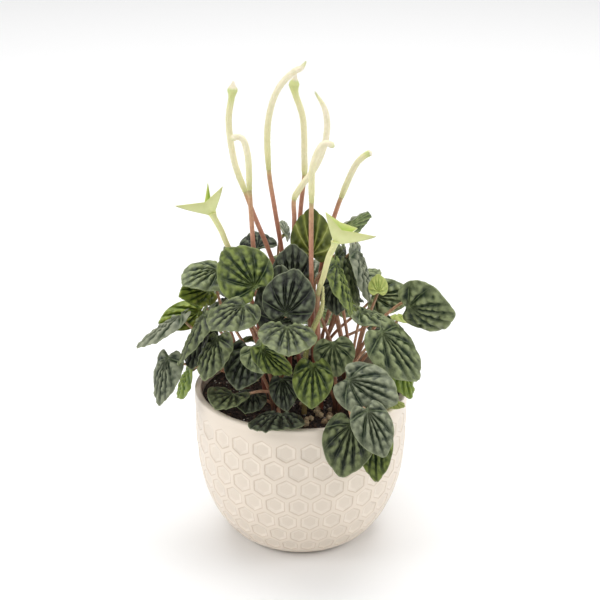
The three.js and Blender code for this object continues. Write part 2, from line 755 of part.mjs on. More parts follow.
function routePetioles(leaves, fixedPoints) {
  const clouds = leaves.map(bladeSamples);
  const routed = [];
  const clearOf = pathSamples / 8; // the first part of each stem stands inside its crown
  leaves.forEach((leaf, i) => {
    const chord = leaf.hub.clone().sub(new THREE.Vector3(...leaf.foot, crownTop)).normalize();
    const sideways = new THREE.Vector3(-chord.y, chord.x, 0).normalize();
    const upward = new THREE.Vector3().crossVectors(chord, sideways);
    let least = Infinity;
    for (const reach of bowReaches)
      for (let turn = 0; turn < (reach ? bowTurns : 1); turn++) {
        const angle = (2 * Math.PI * turn) / bowTurns;
        const bow = sideways.clone().multiplyScalar(reach * Math.cos(angle));
        bow.addScaledVector(upward, reach * Math.sin(angle));
        const path = petiolePath(leaf, bow, pathSamples).slice(clearOf);
        const cost = reach * bowCost + crowding(path, i, leaves, clouds, routed, fixedPoints);
        if (cost < least) {
          least = cost;
          leaf.bow = bow;
        }
      }
    routed.push({ foot: leaf.foot, path: petiolePath(leaf, leaf.bow, pathSamples).slice(clearOf) });
  });
}

// How far a leaf's stem keeps from each thing, in mm, and how much it counts to come closer
const room = {
  ownBlade: { clearance: 3.2, weight: 0.5 },
  otherBlade: { clearance: 4.4, weight: 3 },
  otherStem: { clearance: 3.6, weight: 4 },
  stalk: { clearance: 4, weight: 4 },
  pot: { clearance: 2, weight: 6 },
};

function crowding(path, i, leaves, clouds, routed, fixedPoints) {
  let cost = 0;
  const charge = (distance, { clearance, weight }) => {
    if (distance < clearance) cost += weight * (clearance - distance) ** 2;
  };
  path.forEach((p, step) => {
    leaves.forEach((other, j) => {
      if (j === i || p.distanceTo(other.hub) > other.length + 5) return;
      const sameCrown = other.foot === leaves[i].foot;
      for (const q of clouds[j]) charge(p.distanceTo(q), sameCrown ? room.ownBlade : room.otherBlade);
    });
    for (const other of routed)
      if (other.foot !== leaves[i].foot) for (const q of other.path) charge(p.distanceTo(q), room.otherStem);
    for (const q of fixedPoints) charge(p.distanceTo(q), room.stalk);
    const radius = Math.hypot(p.x, p.y);
    const overRim = radius > rimRadius - wallThickness - 2 && radius < rimRadius + 2;
    if (step > 2 && radius < rimRadius + 2) charge(p.z - (overRim ? potHeight : soilTop), room.pot);
  });
  return cost;
}

function makeCrown(name, leaves) {
  const [x, y] = crowns[name].foot;
  const stub = rod(
    [stemFoot, 90, 94, crownTop].map((z) => new THREE.Vector3(x, y, z)),
    (share) => crownRadius * (share < 1 ? 1 : 0.6),
    7,
  );
  const solids = [solidOf(stub)];
  for (const leaf of leaves) solids.push(solidOf(makeLeaf(leaf)));
  return geometryFrom(fuse(solids));
}

// ---- flowers ----

// A spike thins to its tip; two of them swell first, where they would open
function spikeThickness(share, swell) {
  const taper = share > 0.8 ? 1 - 0.75 * ((share - 0.8) / 0.2) ** 1.5 : 1;
  const head = swell ? 1.5 * Math.exp(-(((share - swell) / 0.07) ** 2)) : 0;
  return spikeRadius * taper + head;
}

const lobeRise = 2.5;
const lobeTaper = 0.62;

function makeStar({ tips, cup, cuts }, path, way) {
  const middle = path[path.length - 1];
  const axis = middle.clone().sub(path[path.length - 2]).normalize();
  const lobes = tips.map(vector);
  const spokes = 12;
  // The edge runs from a lobe's tip to the low place between two lobes and on to the next tip
  const edgeAt = (k) => {
    const lobe = Math.floor(k / 4);
    const from = lobes[lobe];
    const to = lobes[(lobe + 1) % lobes.length];
    const low = from.clone().add(to).multiplyScalar(0.5).lerp(middle, cuts[lobe]);
    low.addScaledVector(axis, lobeRise);
    const step = k % 4;
    if (step === 0) return from.clone();
    if (step === 2) return low;
    return (step === 1 ? from : to).clone().lerp(low, lobeTaper);
  };
  const first = lobes[0].clone().sub(middle);
  const turnsRight = first.clone().cross(lobes[1].clone().sub(middle)).dot(axis) > 0;
  const pointAt = (k, share) =>
    middle.clone()
      .lerp(edgeAt(turnsRight ? k : (spokes - k) % spokes), share)
      .addScaledVector(axis, -cup * share * (1 - share) * 1.6)
      .toArray();
  const head = sheet(pointAt, spokes, [0.45, 1], axis.clone().multiplyScalar(bladeThickness));
  const rodSolid = solidOf(rod(path, (share) => 1.5 + 0.9 * share * share, 6, way));
  return geometryFrom(rodSolid.add(solidOf(head)));
}

// ---- the whole plant ----

const plant = new THREE.Group();

function addMesh(name, geometry, colour, roughness) {
  const flat = geometry.index ? geometry.toNonIndexed() : geometry;
  flat.computeVertexNormals();
  const material = new THREE.MeshStandardMaterial({ color: colour, roughness, metalness: 0 });
  const mesh = new THREE.Mesh(flat, material);
  mesh.name = name;
  plant.add(mesh);
}

const potColour = 0xe6d8c6;
const soilColour = 0x2b211b;
const leafColour = 0x3f5f3a;
const stalkColour = 0xa8604c;
const spikeColour = 0xe3dfb4;
const youngColour = 0xb7bd78;

// Leaves of the far side, each given to the nearer of the two back crowns
const draw = drawsFrom(19);
const allLeaves = [];
for (const [name, crown] of Object.entries(crowns))
  for (const row of crown.leaves) allLeaves.push({ name, foot: crown.foot, ...leafFrom(row) });
for (const tier of backTiers)
  for (let i = 0; i < tier.count; i++) {
    const heading = lerp(tier.from, tier.to, (i + 0.3 + 0.4 * draw()) / tier.count);
    const turn = THREE.MathUtils.degToRad(heading);
    const reach = tier.reach * (0.92 + 0.16 * draw());
    const name = heading < 180 ? "backRight" : "backLeft";
    const row = [
      reach * Math.sin(turn),
      -reach * Math.cos(turn),
      tier.height + 10 * (draw() - 0.5),
      heading + 30 * (draw() - 0.5),
      tier.slope + 16 * (draw() - 0.5),
      30 * (draw() - 0.5),
      tier.length,
      tier.width,
      3,
    ];
    allLeaves.push({ name, foot: crowns[name].foot, ...leafFrom(row) });
  }

// Everything that stands still while the leaves settle
const fixedPaths = [
  ...Object.values(flowers).flatMap((flower) => [flower.stalk, flower.spike]),
  youngSpike,
  ...Object.values(stars).flatMap((star) => [star.foot, star.stem]),
];
const fixedPoints = fixedPaths.flatMap((path) => {
  const curve = new THREE.CatmullRomCurve3(path.map(vector));
  return curve.getSpacedPoints(Math.ceil(curve.getLength() / 4));
});
for (const star of Object.values(stars)) {
  const middle = vector(star.stem[star.stem.length - 1]);
  for (const tip of star.tips)
    for (const share of [0.3, 0.6, 1]) fixedPoints.push(middle.clone().lerp(vector(tip), share));
}
allLeaves.forEach((leaf, i) => {
  leaf.start = crownTop - 2.5 - 2 * (i % petioleStories);
});
settle(allLeaves, fixedPoints);
routePetioles(allLeaves, fixedPoints);

const holes = Object.values(crowns).map(({ foot: [x, y] }) => {
  return { x, y, radius: crownRadius + crownHoleGap, sides: 7 };
});
for (const [[x, y, z]] of fixedPaths)
  if (z === stemFoot) holes.push({ x, y, radius: stalkRadius + stalkHoleGap, sides: 6 });

addMesh("pot", makePot(), potColour, 0.35);
addMesh("soil", makeSoil(holes), soilColour, 0.95);
for (const name of Object.keys(crowns)) {
  const leaves = allLeaves.filter((leaf) => leaf.name === name);
  addMesh("crown_" + name, makeCrown(name, leaves), leafColour, 0.5);
}

// One smooth path from the soil to the tip, cut where a stalk ends and what it carries begins
function cutPath(lower, upper, lowerSteps, upperSteps) {
  const curve = new THREE.CatmullRomCurve3([...lower, ...upper.slice(1)].map(vector));
  const cut = (lower.length - 1) / (lower.length + upper.length - 2);
  const way = curve.getTangent(cut);
  const spread = (from, to, steps) =>
    Array.from({ length: steps + 1 }, (_, i) => curve.getPoint(lerp(from, to, i / steps)));
  const below = spread(0, cut, lowerSteps);
  const above = spread(cut, 1, upperSteps);
  below[lowerSteps].addScaledVector(way, -seatGap);
  return { below, above, way };
}
for (const [name, { stalk, spike, swell }] of Object.entries(flowers)) {
  const { below, above, way } = cutPath(stalk, spike, 7, 9);
  addMesh("stalk_" + name, rod(below, () => stalkRadius, 5, null, way), stalkColour, 0.5);
  addMesh("spike_" + name, rod(above, (s) => spikeThickness(s, swell), 6, way), spikeColour, 0.6);
}
const youngPath = new THREE.CatmullRomCurve3(youngSpike.map(vector)).getSpacedPoints(7);
addMesh("spike_young", rod(youngPath, (s) => spikeThickness(s, 0) * 0.85, 6), youngColour, 0.6);
for (const [name, star] of Object.entries(stars)) {
  const { below, above, way } = cutPath(star.foot, star.stem, 6, 6);
  addMesh("stalk_star_" + name, rod(below, () => stalkRadius, 5, null, way), stalkColour, 0.5);
  addMesh("star_" + name, makeStar(star, above, way), youngColour, 0.6);
}

export default plant;
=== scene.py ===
import math
import bpy
import numpy as np
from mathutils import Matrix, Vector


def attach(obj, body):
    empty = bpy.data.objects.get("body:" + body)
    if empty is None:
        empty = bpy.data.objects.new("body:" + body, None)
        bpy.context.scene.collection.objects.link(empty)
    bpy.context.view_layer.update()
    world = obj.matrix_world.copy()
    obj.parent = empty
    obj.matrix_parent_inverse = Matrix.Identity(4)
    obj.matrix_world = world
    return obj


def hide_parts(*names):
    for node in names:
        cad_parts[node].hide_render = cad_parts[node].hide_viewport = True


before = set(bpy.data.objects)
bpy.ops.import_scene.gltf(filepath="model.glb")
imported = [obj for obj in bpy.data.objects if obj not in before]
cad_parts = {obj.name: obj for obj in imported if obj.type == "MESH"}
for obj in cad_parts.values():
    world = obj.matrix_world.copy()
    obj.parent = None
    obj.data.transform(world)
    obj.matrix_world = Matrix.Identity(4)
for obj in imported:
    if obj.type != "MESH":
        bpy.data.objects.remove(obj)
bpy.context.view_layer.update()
print("frame loaded:", len(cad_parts), "nodes")

mm = 0.001
scene = bpy.context.scene


# Helpers for numbers, nodes and meshes

def srgb(r, g, b):
    channel = lambda v: v / 12.92 if v <= 0.04045 else ((v + 0.055) / 1.055) ** 2.4
    return (channel(r / 255), channel(g / 255), channel(b / 255), 1.0)


def lerp(a, b, share):
    return a + (b - a) * share


def smoothStep(low, high, value):
    t = np.clip((value - low) / (high - low), 0, 1)
    return t * t * (3 - 2 * t)


def unit(v):
    return v / np.linalg.norm(v)


def drawsFrom(seed):  # the same repeatable draws as the part's source
    state = seed
    while True:
        state = state * 16807 % 2147483647
        yield state / 2147483647


def setInput(tree, socket, value):  # a link from another node, or a plain value
    if isinstance(value, bpy.types.NodeSocket):
        tree.links.new(value, socket)
    else:
        socket.default_value = value


def addNode(tree, kind, inputs=None, **settings):
    node = tree.nodes.new(kind)
    for key, value in settings.items():
        setattr(node, key, value)
    for key, value in (inputs or {}).items():
        setInput(tree, node.inputs[key], value)
    return node


def calc(tree, operation, *values):  # one Math node
    node = addNode(tree, "ShaderNodeMath", dict(enumerate(values)), operation=operation)
    return node.outputs[0]


def newMesh(name, points, edges, faces, values):  # points in mm, with a number for each under each key
    mesh = bpy.data.meshes.new(name)
    mesh.from_pydata((np.asarray(points) * mm).tolist(), edges, faces)
    for key, data in values.items():
        attribute = mesh.attributes.new(key, "FLOAT", "POINT")
        attribute.data.foreach_set("value", np.asarray(data, dtype=np.float32))
    return mesh


def linked(name, data):
    piece = bpy.data.objects.new(name, data)
    scene.collection.objects.link(piece)
    return piece


def meshObject(name, points, faces, values=None, colors=None):
    mesh = newMesh(name, points, [], faces, values or {})
    for key, data in (colors or {}).items():
        attribute = mesh.attributes.new(key, "FLOAT_COLOR", "POINT")
        attribute.data.foreach_set("color", np.asarray(data, dtype=np.float32).ravel())
    mesh.polygons.foreach_set("use_smooth", np.ones(len(mesh.polygons), dtype=bool))
    mesh.update()
    return linked(name, mesh)


def pathObject(name, paths):  # loose edges, with a thickness and a place along for each point
    points, edges, thickness, along = [], [], [], []
    for path in paths:
        first = len(points)
        count = len(path["points"])
        points.extend(path["points"])
        edges.extend((first + i, first + i + 1) for i in range(count - 1))
        thickness.extend(np.asarray(path["radius"]) * mm)
        along.extend(path.get("along", np.linspace(0, 1, count)))
    return linked(name, newMesh(name, points, edges, [], {"thickness": thickness, "along": along}))


def newTree(name, inputs):
    tree = bpy.data.node_groups.new(name, "GeometryNodeTree")
    tree.interface.new_socket("Geometry", in_out="INPUT", socket_type="NodeSocketGeometry")
    tree.interface.new_socket("Geometry", in_out="OUTPUT", socket_type="NodeSocketGeometry")
    for label, kind, value in inputs:
        socket = tree.interface.new_socket(label, in_out="INPUT", socket_type="NodeSocket" + kind)
        socket.default_value = value
    return tree, addNode(tree, "NodeGroupInput")


def endTree(tree, geometry, material):  # every tree ends in Realize Instances and Set Material
    real = addNode(tree, "GeometryNodeRealizeInstances", {0: geometry})
    finished = addNode(tree, "GeometryNodeSetMaterial", {"Geometry": real.outputs[0], "Material": material})
    addNode(tree, "NodeGroupOutput", {0: finished.outputs[0]})


def applyTree(piece, tree, values):
    modifier = piece.modifiers.new("shape", "NODES")
    modifier.node_group = tree
    for item in tree.interface.items_tree:
        if item.item_type == "SOCKET" and item.in_out == "INPUT" and item.name in values:
            modifier[item.identifier] = values[item.name]
    bpy.context.view_layer.update()
    depsgraph = bpy.context.evaluated_depsgraph_get()
    made = bpy.data.meshes.new_from_object(piece.evaluated_get(depsgraph))
    old = piece.data
    piece.modifiers.clear()
    piece.data = made
    made.name = piece.name
    bpy.data.meshes.remove(old)


def named(tree, key):
    return addNode(tree, "GeometryNodeInputNamedAttribute", {"Name": key}, data_type="FLOAT").outputs[0]


def shiftPoints(tree, geometry, offset):
    return addNode(tree, "GeometryNodeSetPosition", {"Geometry": geometry, "Offset": offset}).outputs[0]


def shiftOut(tree, geometry, distance):  # along the surface's own normals
    normal = addNode(tree, "GeometryNodeInputNormal").outputs[0]
    values = {0: normal, "Scale": distance}
    offset = addNode(tree, "ShaderNodeVectorMath", values, operation="SCALE").outputs[0]
    return shiftPoints(tree, geometry, offset)


def randomVector(tree, low, high, seed):
    values = {0: low, 1: high, "Seed": seed}
    return addNode(tree, "FunctionNodeRandomValue", values, data_type="FLOAT_VECTOR").outputs[0]


def randomShade(tree, points, seed):  # a shade of its own for each point
    shade = addNode(tree, "FunctionNodeRandomValue", {"Seed": seed}, data_type="FLOAT")
    values = {"Geometry": points, "Name": "shade", "Value": shade.outputs[1]}
    stored = addNode(tree, "GeometryNodeStoreNamedAttribute", values, data_type="FLOAT", domain="POINT")
    return stored.outputs[0]


def sweptCurve(tree, given):  # a round rod along the path, as thick as its points say
    curve = addNode(tree, "GeometryNodeMeshToCurve", {0: given.outputs["Geometry"]})
    values = {0: curve.outputs[0], "Radius": named(tree, "thickness")}
    curve = addNode(tree, "GeometryNodeSetCurveRadius", values)
    values = {"Resolution": given.outputs["Sides"], "Radius": 1.0}
    section = addNode(tree, "GeometryNodeCurvePrimitiveCircle", values)
    values = {"Curve": curve.outputs[0], "Profile Curve": section.outputs[0], "Fill Caps": True}
    swept = addNode(tree, "GeometryNodeCurveToMesh", values)
    if "Scale" in swept.inputs:
        tree.links.new(named(tree, "thickness"), swept.inputs["Scale"])
    return swept.outputs[0]


def ringPoints(reach, level, turns):
    return np.stack((reach * np.cos(turns), reach * np.sin(turns), np.full(len(turns), level)), axis=1)


def turnedFaces(rings, around):  # quads from ring to ring, and a fan to a middle point at each end
    faces = []
    for r in range(rings - 1):
        low, high = r * around, (r + 1) * around
        for k in range(around):
            n = (k + 1) % around
            faces.append((low + k, low + n, high + n, high + k))
    count, last = rings * around, (rings - 1) * around
    faces.extend((count, (k + 1) % around, k) for k in range(around))
    faces.extend((count + 1, last + k, last + (k + 1) % around) for k in range(around))
    return faces


def place(piece, material, slotName, *nodes):  # the last step of every piece
    if material is not None:
        piece.data.materials.clear()
        piece.data.materials.append(material)
    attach(piece, "root")
    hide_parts(*nodes)


# Helpers for materials, and the finishes

def newMaterial(name):
    material = bpy.data.materials.new(name)
    material.use_nodes = True
    tree = material.node_tree
    tree.nodes.clear()
    shader = addNode(tree, "ShaderNodeBsdfPrincipled")
    addNode(tree, "ShaderNodeOutputMaterial", {"Surface": shader.outputs[0]})
    where = addNode(tree, "ShaderNodeTexCoord").outputs["Object"]
    return material, tree, shader, where


def noise(tree, where, scale, detail=3.0, roughness=0.55):
    values = {"Vector": where, "Scale": scale, "Detail": detail, "Roughness": roughness}
    return addNode(tree, "ShaderNodeTexNoise", values).outputs[0]


def mixColor(tree, share, first, second):
    return addNode(tree, "ShaderNodeMix", {0: share, 6: first, 7: second}, data_type="RGBA").outputs[2]


def mapped(tree, value, fromLow, fromHigh, toLow, toHigh, smooth=False):
    kind = "SMOOTHSTEP" if smooth else "LINEAR"
    values = {0: value, 1: fromLow, 2: fromHigh, 3: toLow, 4: toHigh}
    return addNode(tree, "ShaderNodeMapRange", values, interpolation_type=kind).outputs[0]


def ramp(tree, value, stops):
    node = addNode(tree, "ShaderNodeValToRGB", {0: value})
    points = node.color_ramp.elements
    while len(points) < len(stops):
        points.new(0.5)
    for point, (position, color) in zip(points, stops):
        point.position = position
        point.color = color
    return node.outputs[0]


def attribute(tree, key, output="Fac"):
    return addNode(tree, "ShaderNodeAttribute", attribute_name=key).outputs[output]


def bump(tree, shader, layers):  # stacks bumps, each a (height, strength, distance in mm)
    normal = None
    for height, strength, distance in layers:
        values = {"Height": height, "Strength": strength, "Distance": distance * mm}
        if normal is not None:
            values["Normal"] = normal
        normal = addNode(tree, "ShaderNodeBump", values).outputs[0]
    tree.links.new(normal, shader.inputs["Normal"])


def finishShader(tree, shader, values, layers=()):
    for key, value in values.items():
        setInput(tree, shader.inputs[key], value)
    if layers:
        bump(tree, shader, layers)


soilLook = {
    "dark": srgb(24, 17, 14),
    "brown": srgb(66, 46, 36),
    "fibre": srgb(112, 82, 62),
    "fleck": srgb(214, 208, 198),
    "grain": srgb(164, 138, 104),
    "grainDark": srgb(104, 80, 58),
    "grainPale": srgb(214, 196, 160),
}


def soilMaterial():
    material, tree, shader, where = newMaterial("dampSoil")
    shade = attribute(tree, "shade")
    coarse = noise(tree, where, 260.0, 5.0)
    fine = noise(tree, where, 1600.0, 3.0)
    stops = [
        (0.0, soilLook["dark"]), (0.7, soilLook["brown"]), (0.9, soilLook["fibre"]),
        (0.955, soilLook["fibre"]), (0.965, soilLook["fleck"]),
    ]
    base = ramp(tree, shade, stops)
    base = mixColor(tree, mapped(tree, coarse, 0.35, 0.7, 0.65, 0.0), base, soilLook["dark"])
    finishShader(tree, shader, {"Base Color": base, "Roughness": 0.9}, [(coarse, 0.7, 0.8), (fine, 0.5, 0.3)])
    return material


def grainMaterial():
    material, tree, shader, where = newMaterial("fertiliserGrain")
    shade = attribute(tree, "shade")
    mottle = noise(tree, where, 700.0, 4.0)
    base = mixColor(tree, shade, soilLook["grainDark"], soilLook["grainPale"])
    base = mixColor(tree, mapped(tree, mottle, 0.35, 0.65, 0.0, 0.8), base, soilLook["grain"])
    finishShader(tree, shader, {"Base Color": base, "Roughness": 0.55}, [(mottle, 0.5, 0.3)])
    return material


def bladeMaterial():
    material, tree, shader, where = newMaterial("puckeredLeaf")
    ridge = attribute(tree, "ridge")
    rim = attribute(tree, "rim")
    under = attribute(tree, "under")
    ridgeColor = attribute(tree, "ridgeColor", "Color")
    veinColor = attribute(tree, "veinColor", "Color")
    backColor = attribute(tree, "backColor", "Color")
    broad = noise(tree, where, 150.0, 3.0)
    fine = noise(tree, where, 1000.0, 4.0)
    # the top runs from the furrow colour to the ridge colour by the painted tone: painted highlight on the
    # crests and painted shade in the furrows, over the leaf's own greens
    lift = calc(tree, "ADD", ridge, mapped(tree, broad, 0.3, 0.7, -0.1, 0.1))
    lift = calc(tree, "ADD", lift, mapped(tree, fine, 0.3, 0.7, -0.1, 0.1))
    top = mixColor(tree, mapped(tree, lift, 0.08, 0.92, 0.0, 1.0), veinColor, ridgeColor)
    # thin pale veins, as wide at the hub as at the rim
    reach = attribute(tree, "reach")
    fromVein = calc(tree, "ABSOLUTE", calc(tree, "WRAP", attribute(tree, "vein"), 0.5, -0.5))
    width = calc(tree, "MULTIPLY", fromVein, calc(tree, "MULTIPLY", reach, 0.55))
    waver = calc(tree, "ADD", width, mapped(tree, fine, 0.3, 0.7, -0.06, 0.06))
    strength = mapped(tree, reach, 9.0, 22.0, 0.5, 0.12)
    line = calc(tree, "MULTIPLY", mapped(tree, waver, 0.08, 0.3, 1.0, 0.0, True), strength)
    top = mixColor(tree, line, top, mixColor(tree, 0.35, ridgeColor, srgb(150, 170, 120)))
    # the blade's edge mixed towards a pale colour: a painted highlight on the rim
    top = mixColor(tree, rim, top, mixColor(tree, 0.5, ridgeColor, srgb(176, 184, 140)))
    # on the underside the panels between the veins darken towards the furrow colour, painted shade in the
    # hollows behind the top's ridges; the pale lines near the veins are the veins' own colour
    underWithPaintedShade = mixColor(tree, mapped(tree, ridge, 0.2, 0.9, 0.0, 0.75), backColor, veinColor)
    back = mixColor(tree, mapped(tree, ridge, 0.05, 0.22, 0.6, 0.0), underWithPaintedShade, srgb(188, 192, 128))
    back = mixColor(tree, mapped(tree, broad, 0.4, 0.7, 0.0, 0.3), back, backColor)
    finishShader(tree, shader, {
        "Base Color": mixColor(tree, under, top, back),
        "Roughness": mapped(tree, fine, 0.3, 0.7, 0.34, 0.5), "Specular IOR Level": 0.32,
    }, [(broad, 0.25, 0.6), (fine, 0.35, 0.18)])
    return material


def stemMaterial(name, stops, roughness=0.45, speckle=None):
    material, tree, shader, where = newMaterial(name)
    base = ramp(tree, attribute(tree, "along"), stops)
    streak = noise(tree, where, 420.0, 3.0)
    base = mixColor(tree, mapped(tree, streak, 0.35, 0.7, 0.0, 0.35), base, speckle or stops[0][1])
    finishShader(tree, shader, {
        "Base Color": base, "Roughness": mapped(tree, streak, 0.3, 0.7, roughness - 0.07, roughness + 0.08),
        "Subsurface Weight": 0.08, "Subsurface Radius": (0.003, 0.0015, 0.001), "Subsurface Scale": 1.0,
    }, [(streak, 0.25, 0.2)])
    return material


# darker towards the foot, partly painted shade under the leaves; the pale middle is partly the stems' own
# pink-tan and partly painted light standing in for light through the foliage
petioleLook = [
    (0.0, srgb(62, 38, 28)), (0.12, srgb(132, 86, 64)), (0.35, srgb(206, 156, 126)),
    (0.85, srgb(216, 174, 138)), (1.0, srgb(168, 160, 106)),
]
stalkLook = [
    (0.0, srgb(128, 66, 52)), (0.45, srgb(168, 104, 84)), (0.85, srgb(198, 144, 116)),
    (0.97, srgb(204, 164, 124)), (1.0, srgb(192, 188, 130)),
]
spikeLook = [
    (0.0, srgb(200, 200, 134)), (0.06, srgb(230, 226, 174)), (0.3, srgb(244, 236, 204)),
    (0.82, srgb(248, 238, 214)), (0.93, srgb(232, 230, 184)), (1.0, srgb(194, 200, 156)),
]
headedLook = [  # spikes with a green head under a pale tip
    (0.0, srgb(200, 200, 134)), (0.06, srgb(230, 226, 174)), (0.25, srgb(242, 234, 200)),
    (0.6, srgb(236, 230, 186)), (0.74, srgb(212, 218, 148)), (0.86, srgb(206, 214, 146)),
    (0.9, srgb(240, 230, 208)), (1.0, srgb(246, 236, 218)),
]
youngLook = [(0.0, srgb(150, 120, 76)), (0.5, srgb(178, 180, 108)), (1.0, srgb(214, 214, 150))]
starStemLook = [(0.0, srgb(206, 200, 140)), (0.5, srgb(228, 226, 168)), (1.0, srgb(226, 230, 164))]

print("helpers ready")


potFacts = {
    "height": 98.0, "rimRadius": 65.0, "baseRadius": 33.8,
    "shoulderHeight": 78.4, "shoulderRadius": 64.5,
    "bellyPower": 2.54, "bellyRoundness": 0.704,
    "wall": 4.0, "floor": 6.0,
    "cells": 28, "rows": 7, "firstRow": 19.5, "rowPitch": 12.25,
    "cellTurn": math.radians(5.1),  # the pattern's turn about the pot's axis
    "netHeight": 0.3, "cellDepth": 0.5,
    "cellFloor": 0.26, "netEdge": 0.41,  # in cell widths from a cell's middle
    "perCell": 14, "ringStep": 0.66,
}


def wallRadius(z):
    f = potFacts
    share = (z - f["shoulderHeight"]) / (f["height"] - f["shoulderHeight"])
    upper = lerp(f["shoulderRadius"], f["rimRadius"], share)
    drop = np.clip(1 - z / f["shoulderHeight"], 0, 1) ** f["bellyPower"]
    lower = f["baseRadius"] + (f["shoulderRadius"] - f["baseRadius"]) * (1 - drop) ** f["bellyRoundness"]
    return np.where(z >= f["shoulderHeight"], upper, lower)


def hexDistance(tree, turn, row, rows):  # from the nearest cell's middle in cell widths, 0.5 outside the rows
    rise = math.sqrt(3) / 2
    y = calc(tree, "MULTIPLY", row, rise)

    def half(shiftX, shiftY):  # the cells of every second row
        across = calc(tree, "WRAP", calc(tree, "ADD", turn, shiftX), 0.5, -0.5)
        up = calc(tree, "WRAP", calc(tree, "ADD", y, shiftY), rise, -rise)
        flat = calc(tree, "ABSOLUTE", across)
        halfFlat = calc(tree, "MULTIPLY", flat, 0.5)
        slant = calc(tree, "MULTIPLY_ADD", calc(tree, "ABSOLUTE", up), rise, halfFlat)
        middleRow = calc(tree, "DIVIDE", calc(tree, "SUBTRACT", y, up), rise)
        return calc(tree, "MAXIMUM", flat, slant), middleRow

    evenDistance, evenRow = half(0.0, 0.0)
    oddDistance, oddRow = half(0.5, rise)
    distance = calc(tree, "MINIMUM", evenDistance, oddDistance)
    isOdd = calc(tree, "LESS_THAN", oddDistance, evenDistance)
    rowGap = calc(tree, "SUBTRACT", oddRow, evenRow)
    nearRow = calc(tree, "ADD", evenRow, calc(tree, "MULTIPLY", isOdd, rowGap))
    inside = calc(tree, "MULTIPLY", calc(tree, "GREATER_THAN", nearRow, -0.5),
                  calc(tree, "LESS_THAN", nearRow, calc(tree, "SUBTRACT", rows, 0.5)))
    kept = calc(tree, "MULTIPLY", inside, calc(tree, "SUBTRACT", distance, 0.5))
    return calc(tree, "ADD", kept, 0.5)


# the net is the glaze's own cream; the darker cell floor is painted shade in the recesses, the paler bevel
# band painted light on its slope, and the crease colour a painted shade line along each cell's step that also
# colours the glaze's own specks
glazeLook = {
    "net": srgb(232, 219, 203),
    "litBevel": srgb(235, 223, 208),
    "floor": srgb(226, 213, 197),
    "creaseShadeAndSpeck": srgb(192, 168, 142),
    "coat": 0.2,
}


def glazeMaterial():
    f = potFacts
    material, tree, shader, where = newMaterial("creamGlaze")
    spot = addNode(tree, "ShaderNodeSeparateXYZ", {0: where}).outputs
    around = calc(tree, "SUBTRACT", calc(tree, "ARCTAN2", spot[1], spot[0]), f["cellTurn"])
    turn = calc(tree, "MULTIPLY", around, f["cells"] / (2 * math.pi))
    distance = hexDistance(tree, turn, attribute(tree, "cellRow"), f["rows"])
    cloud = noise(tree, where, 26.0, 4.0)
    speck = noise(tree, where, 900.0, 2.0)
    waver = calc(tree, "ADD", distance, mapped(tree, noise(tree, where, 300.0), 0.3, 0.7, -0.012, 0.012))
    floor = mapped(tree, waver, 0.23, 0.27, 1.0, 0.0, True)
    net = mapped(tree, waver, 0.38, 0.42, 0.0, 1.0, True)
    # painted shade on the cell floors and painted light on the bevel band
    base = mixColor(tree, floor, glazeLook["litBevel"], glazeLook["floor"])
    base = mixColor(tree, net, base, glazeLook["net"])
    offEdge = calc(tree, "ABSOLUTE", calc(tree, "SUBTRACT", waver, 0.392))
    # a painted shade line along the step at each cell's edge
    base = mixColor(tree, mapped(tree, offEdge, 0.0, 0.04, 0.6, 0.0, True), base, glazeLook["creaseShadeAndSpeck"])
    base = mixColor(tree, mapped(tree, cloud, 0.35, 0.75, 0.0, 0.3), base, glazeLook["floor"])
    base = mixColor(tree, mapped(tree, speck, 0.68, 0.8, 0.0, 0.25), base, glazeLook["creaseShadeAndSpeck"])
    step = mapped(tree, waver, 0.365, 0.41, 0.0, 1.0, True)
    finishShader(tree, shader, {
        "Base Color": base, "Roughness": mapped(tree, cloud, 0.3, 0.7, 0.3, 0.44),
        "Coat Weight": glazeLook["coat"], "Coat Roughness": 0.18,
    }, [(cloud, 0.2, 0.6), (speck, 0.12, 0.08), (step, 0.35, 0.4)])
    return material


def potTree(material):
    tree, given = newTree("honeycombRelief", [
        ("Net Height", "Float", 0.0003), ("Cell Depth", "Float", 0.0005),
        ("Cell Floor", "Float", 0.25), ("Net Edge", "Float", 0.4), ("Rows", "Float", 7.0),
    ])
    distance = hexDistance(tree, named(tree, "cellTurn"), named(tree, "cellRow"), given.outputs["Rows"])
    relief = addNode(tree, "ShaderNodeMapRange", {
        0: distance, 1: given.outputs["Cell Floor"], 2: given.outputs["Net Edge"], 3: 0.0, 4: 1.0,
    }, interpolation_type="SMOOTHSTEP").outputs[0]
    span = calc(tree, "ADD", given.outputs["Net Height"], given.outputs["Cell Depth"])
    height = calc(tree, "SUBTRACT", calc(tree, "MULTIPLY", relief, span), given.outputs["Cell Depth"])
    height = calc(tree, "MULTIPLY", height, named(tree, "netFade"))
    endTree(tree, shiftOut(tree, given.outputs["Geometry"], height), material)
    return tree


